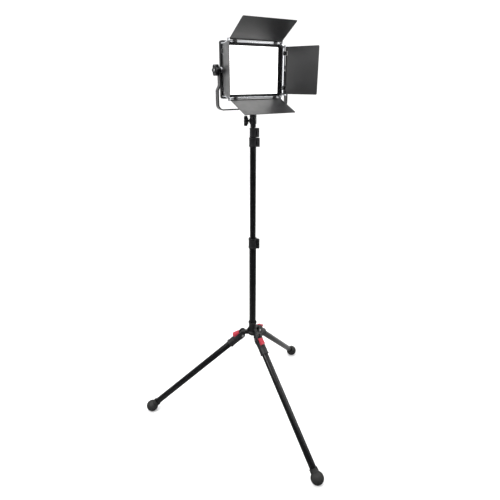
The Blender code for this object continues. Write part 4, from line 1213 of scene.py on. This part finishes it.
screen_mid = (0, (screen_low.z + screen_high.z) / 2)
cover = extruded(rounded(*screen_half, 0.002, 6, screen_mid), screen_low.y, screen_high.y, "Y", soft=0.0004)
piece("screen_cover_glass", cover, glass, "lamp_head", "screen_glass", "display_window", place=HEAD)

SEGMENTS = {"0": "abcdef", "1": "bc", "5": "acdfg", "6": "acdefg"}
SEGMENT_SPOTS = {"a": (0, 1, 1), "b": (1, 0.5, 0), "c": (1, -0.5, 0), "d": (0, -1, 1), "e": (-1, -0.5, 0),
                 "f": (-1, 0.5, 0), "g": (0, 0, 1)}


def digit(number, x, z, half):
    """A seven-segment digit as small flat bars on the screen."""
    bars = []
    for segment in SEGMENTS[number]:
        sx, sz, lying = SEGMENT_SPOTS[segment]
        wide = (half * 0.42, 0.00035) if lying else (0.00035, half * 0.42)
        spot = (x - sx * half * 0.5, z + sz * half)
        bars.append(block((spot[0] - wide[0], screen_high.y - 0.0001, spot[1] - wide[1]),
                          (spot[0] + wide[0], screen_high.y + 0.0001, spot[1] + wide[1])))
    return gathered(*bars)


readout = gathered(*(digit(number, 0.012 - i * 0.0058, screen_mid[1] + 0.0045, 0.0036)
                     for i, number in enumerate("100")),
                   *(digit(number, 0.012 - i * 0.0058, screen_mid[1] - 0.0062, 0.0030)
                     for i, number in enumerate("5600")))
piece("screen_readout", readout, lit_digits, "lamp_head", "screen_glass", place=HEAD)

for node, body in (("brightness_dial", "brightness_control"), ("colour_dial", "colour_control")):
    dial_joint = joint_at("brightness_turn" if node.startswith("bright") else "colour_turn")
    place = Matrix.Translation(dial_joint)
    low, high = span(node, place)
    ribs = grown("ring_of_ribs", smooth_plastic, Count=30, Radius=high.x - 0.0006,
                 Rib=(0.0010, 0.0007, high.y - 0.0035))
    dial = disc(high.x - 0.0006, low.y, high.y, "Y", ease=0.0010)
    pointer = block((-0.0004, high.y - 0.0004, high.x * 0.25), (0.0004, high.y + 0.0001, high.x * 0.8))
    ribs = moved(along(ribs, "Y"), y=(low.y + high.y) / 2)
    piece(f"{node}_moulded", gathered(dial, ribs), smooth_plastic, body, "black_plastic", node, place=place)
    piece(f"{node}_pointer", pointer, ink, body, "black_plastic", place=place)
    ticks = []
    for i in range(11):
        tick_end = 0.0130 if i % 5 == 0 else 0.0122
        tick_turn = Matrix.Rotation(math.radians(-150 + 30 * i), 4, "Y")
        ticks.append(moved(block((-0.00022, 0, 0.0112), (0.00022, 0.0001, tick_end)), matrix=tick_turn))
    ticks = gathered(*ticks)
    moved(ticks, x=dial_joint.x - head.x, y=face_y - 0.00003, z=dial_joint.z - head.z)
    piece(f"{node}_ticks", ticks, ink, "lamp_head", "black_plastic", place=HEAD)

place = Matrix.Translation(joint_at("power_rock"))
low, high = span("power_switch", place)
thin, mid_rise, tall = 0.0030, 0.0042, 0.0048
switch_side = [(low.x, low.y), (high.x, low.y), (high.x, low.y + thin - 0.0004),
               (0, low.y + mid_rise - 0.0004), (low.x, low.y + tall - 0.0004)]
switch = extruded(switch_side, low.z, high.z, soft=0.0005)
piece("power_switch_moulded", switch, smooth_plastic, "power_rocker", "black_plastic", "power_switch",
      place=place)

inlet_ring = turned([(0.0026, dc_low.y), (inlet_r, dc_low.y), (inlet_r, dc_high.y), (0.0032, dc_high.y),
                     (0.0032, dc_low.y + 0.0009), (0.0026, dc_low.y + 0.0009)], "Y", 48, 0.0003)
piece("dc_socket_moulded", moved(inlet_ring, x=inlet[0], z=inlet[1]), smooth_plastic, "lamp_head",
      "black_plastic", "dc_socket", place=HEAD)
inlet_pin = disc(0.0009, dc_low.y, dc_high.y - 0.0010, "Y", ease=0.0003, steps=24)
piece("dc_socket_pin", moved(inlet_pin, x=inlet[0], z=inlet[1]), steel, "lamp_head", "bright_steel",
      place=HEAD)

for name, side in (("left", -1), ("right", 1)):
    low, high = span(f"battery_plate_{name}", HEAD)
    mid = (low.x + high.x) / 2
    half = ((high.x - low.x) / 2, (high.z - low.z) / 2)
    plate = extruded(rounded(*half, 0.003, 6, (mid, 0)), low.y, high.y, "Y", soft=0.0008)
    channel = block((mid - 0.016, high.y - 0.003, low.z + 0.012), (mid + 0.016, high.y + HIDDEN,
                                                                   high.z + HIDDEN))
    notch = grown("grid_of_blocks", moulded, Columns=2, Rows=3, Wide=0.0320, Tall=0.034,
                  Block=(0.0022, 0.007, 0.0022))
    notches = moved(along(notch, "Y"), x=mid, y=high.y - 0.0020, z=0.006)
    piece(f"battery_plate_{name}_moulded", cut(plate, channel, notches), moulded, "lamp_head",
          "black_plastic", f"battery_plate_{name}", place=HEAD)
    contacts = grown("grid_of_blocks", gold, Columns=4, Rows=1, Wide=0.015, Tall=0.0,
                     Block=(0.0018, 0.006, 0.0006))
    moved(along(contacts, "Y"), x=mid, y=high.y - 0.0029, z=low.z + 0.0175)
    piece(f"battery_contacts_{name}", contacts, gold, "lamp_head", "bright_steel", place=HEAD)

# %% [markdown]
# The doors hang on a light frame of silver bars in front of the bezel. Black clips hold the hinge rods,
# and the clips on the side rods each have a screw. A door is one sheet with a rolled edge round its rod
# and a folded hem on the other edges, which stiffens it and leaves nothing sharp.

# %% Door frame
BAND_THICK = 0.006
BAND_DEEP = 0.0107
BAND_CORNER = (0.020, 0.0135)
WALL_THICK = 0.0012
CLIP_SPOTS = {"cap": 0.088, "side": 0.061}
CLIP_LONG = 0.014
BARREL_R = 0.003
ROD_R = 0.0015
HINGE_X = abs(joint_at("left_door_swing").x - head.x)
HINGE_Z = joint_at("top_door_swing").z - head.z
SIDE_FRONT = head.y - joint_at("left_door_swing").y
CAP_FRONT = head.y - joint_at("top_door_swing").y
FRAME_HALF = (HINGE_X - BARREL_R - 0.0005, HINGE_Z - BARREL_R - 0.0005)
FRAME_FRONT = -(SIDE_FRONT - 0.0014)


def octagon(half_x, half_z, corner, y):
    points = []
    for sx, sz in ((1, 1), (-1, 1), (-1, -1), (1, -1)):
        pair = [(sx * half_x, y, sz * (half_z - corner[1])), (sx * (half_x - corner[0]), y, sz * half_z)]
        points += pair if sx * sz > 0 else pair[::-1]
    return points


def band_mesh():
    """A bar with rounded edges, swept round the octagon."""
    t = BAND_THICK
    edge = 0.0008
    rear = FRAME_FRONT + BAND_DEEP
    section = [(0, rear - edge), (0, FRAME_FRONT + edge), (edge * 0.3, FRAME_FRONT + edge * 0.3),
               (edge, FRAME_FRONT), (t - edge, FRAME_FRONT), (t - edge * 0.3, FRAME_FRONT + edge * 0.3),
               (t, FRAME_FRONT + edge), (t, rear - edge), (t - edge, rear), (edge, rear)]
    loops = []
    for inset, y in section:
        corner = (BAND_CORNER[0] - inset * 0.5, BAND_CORNER[1] - inset * 0.5)
        loops.append(octagon(FRAME_HALF[0] - inset, FRAME_HALF[1] - inset, corner, y))
    return lofted(loops, ring=True)


def frame_lugs():
    """Ears at the ends of each hinge rod, and feet that carry the frame on the bezel."""
    parts = []
    t = BAND_THICK
    inset = t / 4
    rear = FRAME_FRONT + BAND_DEEP
    cap_half = span("hinge_rod_top", HEAD)[1].x
    side_half = span("hinge_rod_left", HEAD)[1].z
    long = 0.0045
    for sx in (-1, 1):
        wall = sorted((sx * (FRAME_HALF[0] - t + 0.0002), sx * (FRAME_HALF[0] - t + WALL_THICK)))
        wall_half = FRAME_HALF[1] - BAND_CORNER[1] - 0.002
        parts.append(block((wall[0], rear - 0.002, -wall_half), (wall[1], -GAP, wall_half)))
        for sz in (-1, 1):
            x = sx * CLIP_SPOTS["cap"]
            z = sz * CLIP_SPOTS["side"]
            tall = sorted((sz * (FRAME_HALF[1] - inset), sz * (FRAME_HALF[1] - t + inset)))
            wide = sorted((sx * (FRAME_HALF[0] - inset), sx * (FRAME_HALF[0] - t + inset)))
            foot = CLIP_LONG / 2
            parts.append(block((x - foot, rear - inset, tall[0]), (x + foot, -GAP, tall[1])))
            parts.append(block((wide[0], rear - inset, z - foot), (wide[1], -GAP, z + foot)))
            start = cap_half + GAP
            low = sorted((sx * start, sx * (start + long)))
            tall = sorted((sz * (FRAME_HALF[1] - 0.005), sz * (HINGE_Z + BARREL_R)))
            parts.append(block((low[0], -CAP_FRONT - BARREL_R, tall[0]),
                               (low[1], FRAME_FRONT + 0.006, tall[1]), soft=0.0008))
            start = side_half + GAP
            tall = sorted((sz * start, sz * (start + long)))
            wide = sorted((sx * (FRAME_HALF[0] - 0.005), sx * (HINGE_X + BARREL_R)))
            parts.append(block((wide[0], -SIDE_FRONT - BARREL_R, tall[0]),
                               (wide[1], FRAME_FRONT + 0.006, tall[1]), soft=0.0008))
    return parts


piece("door_frame_bars", gathered(band_mesh(), *frame_lugs()), silver, "lamp_head", "silver_aluminium",
      "door_frame", place=HEAD)


def hinge_clips():
    """A black clip for each pair of hinge knuckles: a ring round the rod and a strap behind it."""
    parts = []
    half = CLIP_LONG / 2
    strap = 0.0004
    for sx in (-1, 1):
        for sz in (-1, 1):
            x = sx * CLIP_SPOTS["cap"]
            ring = moved(disc(BARREL_R, x - half, x + half, "X", ease=0.0005, steps=32),
                         y=-CAP_FRONT, z=sz * HINGE_Z)
            tall = sorted((sz * (FRAME_HALF[1] - BAND_THICK - strap), sz * (HINGE_Z + 0.0024)))
            parts += [ring, block((x - half, -CAP_FRONT + 0.0013, tall[0]),
                                  (x + half, FRAME_FRONT + 0.006, tall[1]), soft=0.0005)]
            z = sz * CLIP_SPOTS["side"]
            ring = moved(disc(BARREL_R, z - half, z + half, ease=0.0005, steps=32),
                         x=sx * HINGE_X, y=-SIDE_FRONT)
            wide = sorted((sx * (FRAME_HALF[0] - BAND_THICK - strap), sx * (HINGE_X + 0.0024)))
            parts += [ring, block((wide[0], FRAME_FRONT - strap, z - half),
                                  (wide[1], FRAME_FRONT + 0.006, z + half), soft=0.0003)]
    return gathered(*parts)


def clip_screws():
    """Low screw heads on the side clips, with a cross recess."""
    parts = []
    for sx in (-1, 1):
        for sz in (-1, 1):
            x = sx * (FRAME_HALF[0] - BAND_THICK / 2)
            z = sz * CLIP_SPOTS["side"]
            screw_head = disc(0.0024, FRAME_FRONT - 0.0006, FRAME_FRONT, "Y", ease=0.0003, steps=32)
            for wide, tall in ((0.0015, 0.0003), (0.0003, 0.0015)):
                screw_head = cut(screw_head, block((-wide, -1, -tall), (wide, FRAME_FRONT - 0.0003, tall)))
            parts.append(moved(screw_head, x=x, z=z))
    return gathered(*parts)


piece("hinge_clips", hinge_clips(), smooth_plastic, "lamp_head", "black_plastic", place=HEAD)
piece("hinge_clip_screws", clip_screws(), steel, "lamp_head", "bright_steel", place=HEAD)

# %% [markdown]
# All four doors come from one function. The notches in the rolled edge leave room for the clips,
# so the door can swing round its rod. Rivets hold a friction spring behind the sheet near the hinge.

# %% Doors
SHEET = 0.0014
DOOR_CORNER_R = 0.004
HEM = 0.006
HEM_PROUD = 0.00035


def door_mesh(half, long, clip_at):
    r = DOOR_CORNER_R
    start = (BARREL_R + ROD_R) / 2
    outline = [(-half, start), (half, start), *arc((half - r, long - r), r, 0, math.pi / 2, 8),
               *arc((r - half, long - r), r, math.pi / 2, math.pi, 8)]
    door = turned([(ROD_R + GAP, -half), (BARREL_R, -half), (BARREL_R, half), (ROD_R + GAP, half)],
                  "X", 40, 0.0003)
    door = joined(door, extruded(outline, -SHEET / 2, SHEET / 2, soft=0.0003))
    gap = CLIP_LONG / 2 + RUN
    notches = [block((side * clip_at - gap, -0.01, -0.01), (side * clip_at + gap, 0.0045, 0.01))
               for side in (-1, 1)]
    door = cut(door, *notches)
    outer = [(x, y) for x, y in outline[2:]]
    inner = [(x - math.copysign(HEM, x), min(y, long - HEM)) for x, y in outer]
    hem = bmesh.new()
    bottom = 0.010
    rim = [(half, bottom), *outer, (-half, bottom)]
    seam = [(half - HEM, bottom), *inner, (HEM - half, bottom)]
    thick = SHEET / 2 + HEM_PROUD
    rows = [[hem.verts.new((x, y, z)) for x, y in side]
            for side, z in ((rim, 0), (rim, thick - 0.0003), ([(x * 0.998, y) for x, y in rim], thick),
                            (seam, thick), (seam, 0))]
    for a, b in zip(rows, rows[1:] + rows[:1]):
        for i in range(1, len(a)):
            hem.faces.new((a[i - 1], a[i], b[i], b[i - 1]))
    hem.faces.new([row[0] for row in rows])
    hem.faces.new([row[-1] for row in rows])
    return gathered(door, hem)


def door_rivets(clip_at):
    spots = [(side * clip_at + shift, 0.0095) for side in (-1, 1) for shift in (-0.012, 0.012)]
    dome = [(0, 0), (0.0019, 0), (0.0018, 0.00035), (0.0013, 0.0006), (0, 0.0007)]
    return gathered(*(moved(turned(dome, steps=24), x=x, y=y, z=SHEET / 2) for x, y in spots))


out_ways = {"top": ("top_door", "cap"), "bottom": ("bottom_door", "cap"),
            "left": ("left_door", "side"), "right": ("right_door", "side")}
for name, (body, kind) in out_ways.items():
    hinge = joint_at(f"{body}_swing")
    rod_way = Vector((1, 0, 0)) if kind == "cap" else Vector((0, 0, 1))
    sheet_mid = middle(f"door_{name}")
    outward = sheet_mid - hinge
    place = basis(hinge, rod_way, outward - rod_way * outward.dot(rod_way))
    side_of_lamp = (place.inverted() @ head).z
    low, high = span(f"door_{name}", place)
    clip_at = CLIP_SPOTS[kind]
    door = door_mesh(high.x, high.y, clip_at)
    rivets = door_rivets(clip_at)
    if side_of_lamp > 0:
        mirrored(door, "Z")
        mirrored(rivets, "Z")
    piece(f"door_{name}_folded", door, sheet_coat, body, "door_black", f"door_{name}", place=place)
    piece(f"door_{name}_rivets", rivets, steel, body, "bright_steel", place=place)
    low, high = span(f"hinge_rod_{name}", place)
    rod = disc(ROD_R, low.x, high.x, "X", ease=0.0003, steps=32)
    piece(f"hinge_rod_{name}_drawn", rod, steel, "lamp_head", "bright_steel", f"hinge_rod_{name}",
          place=place)
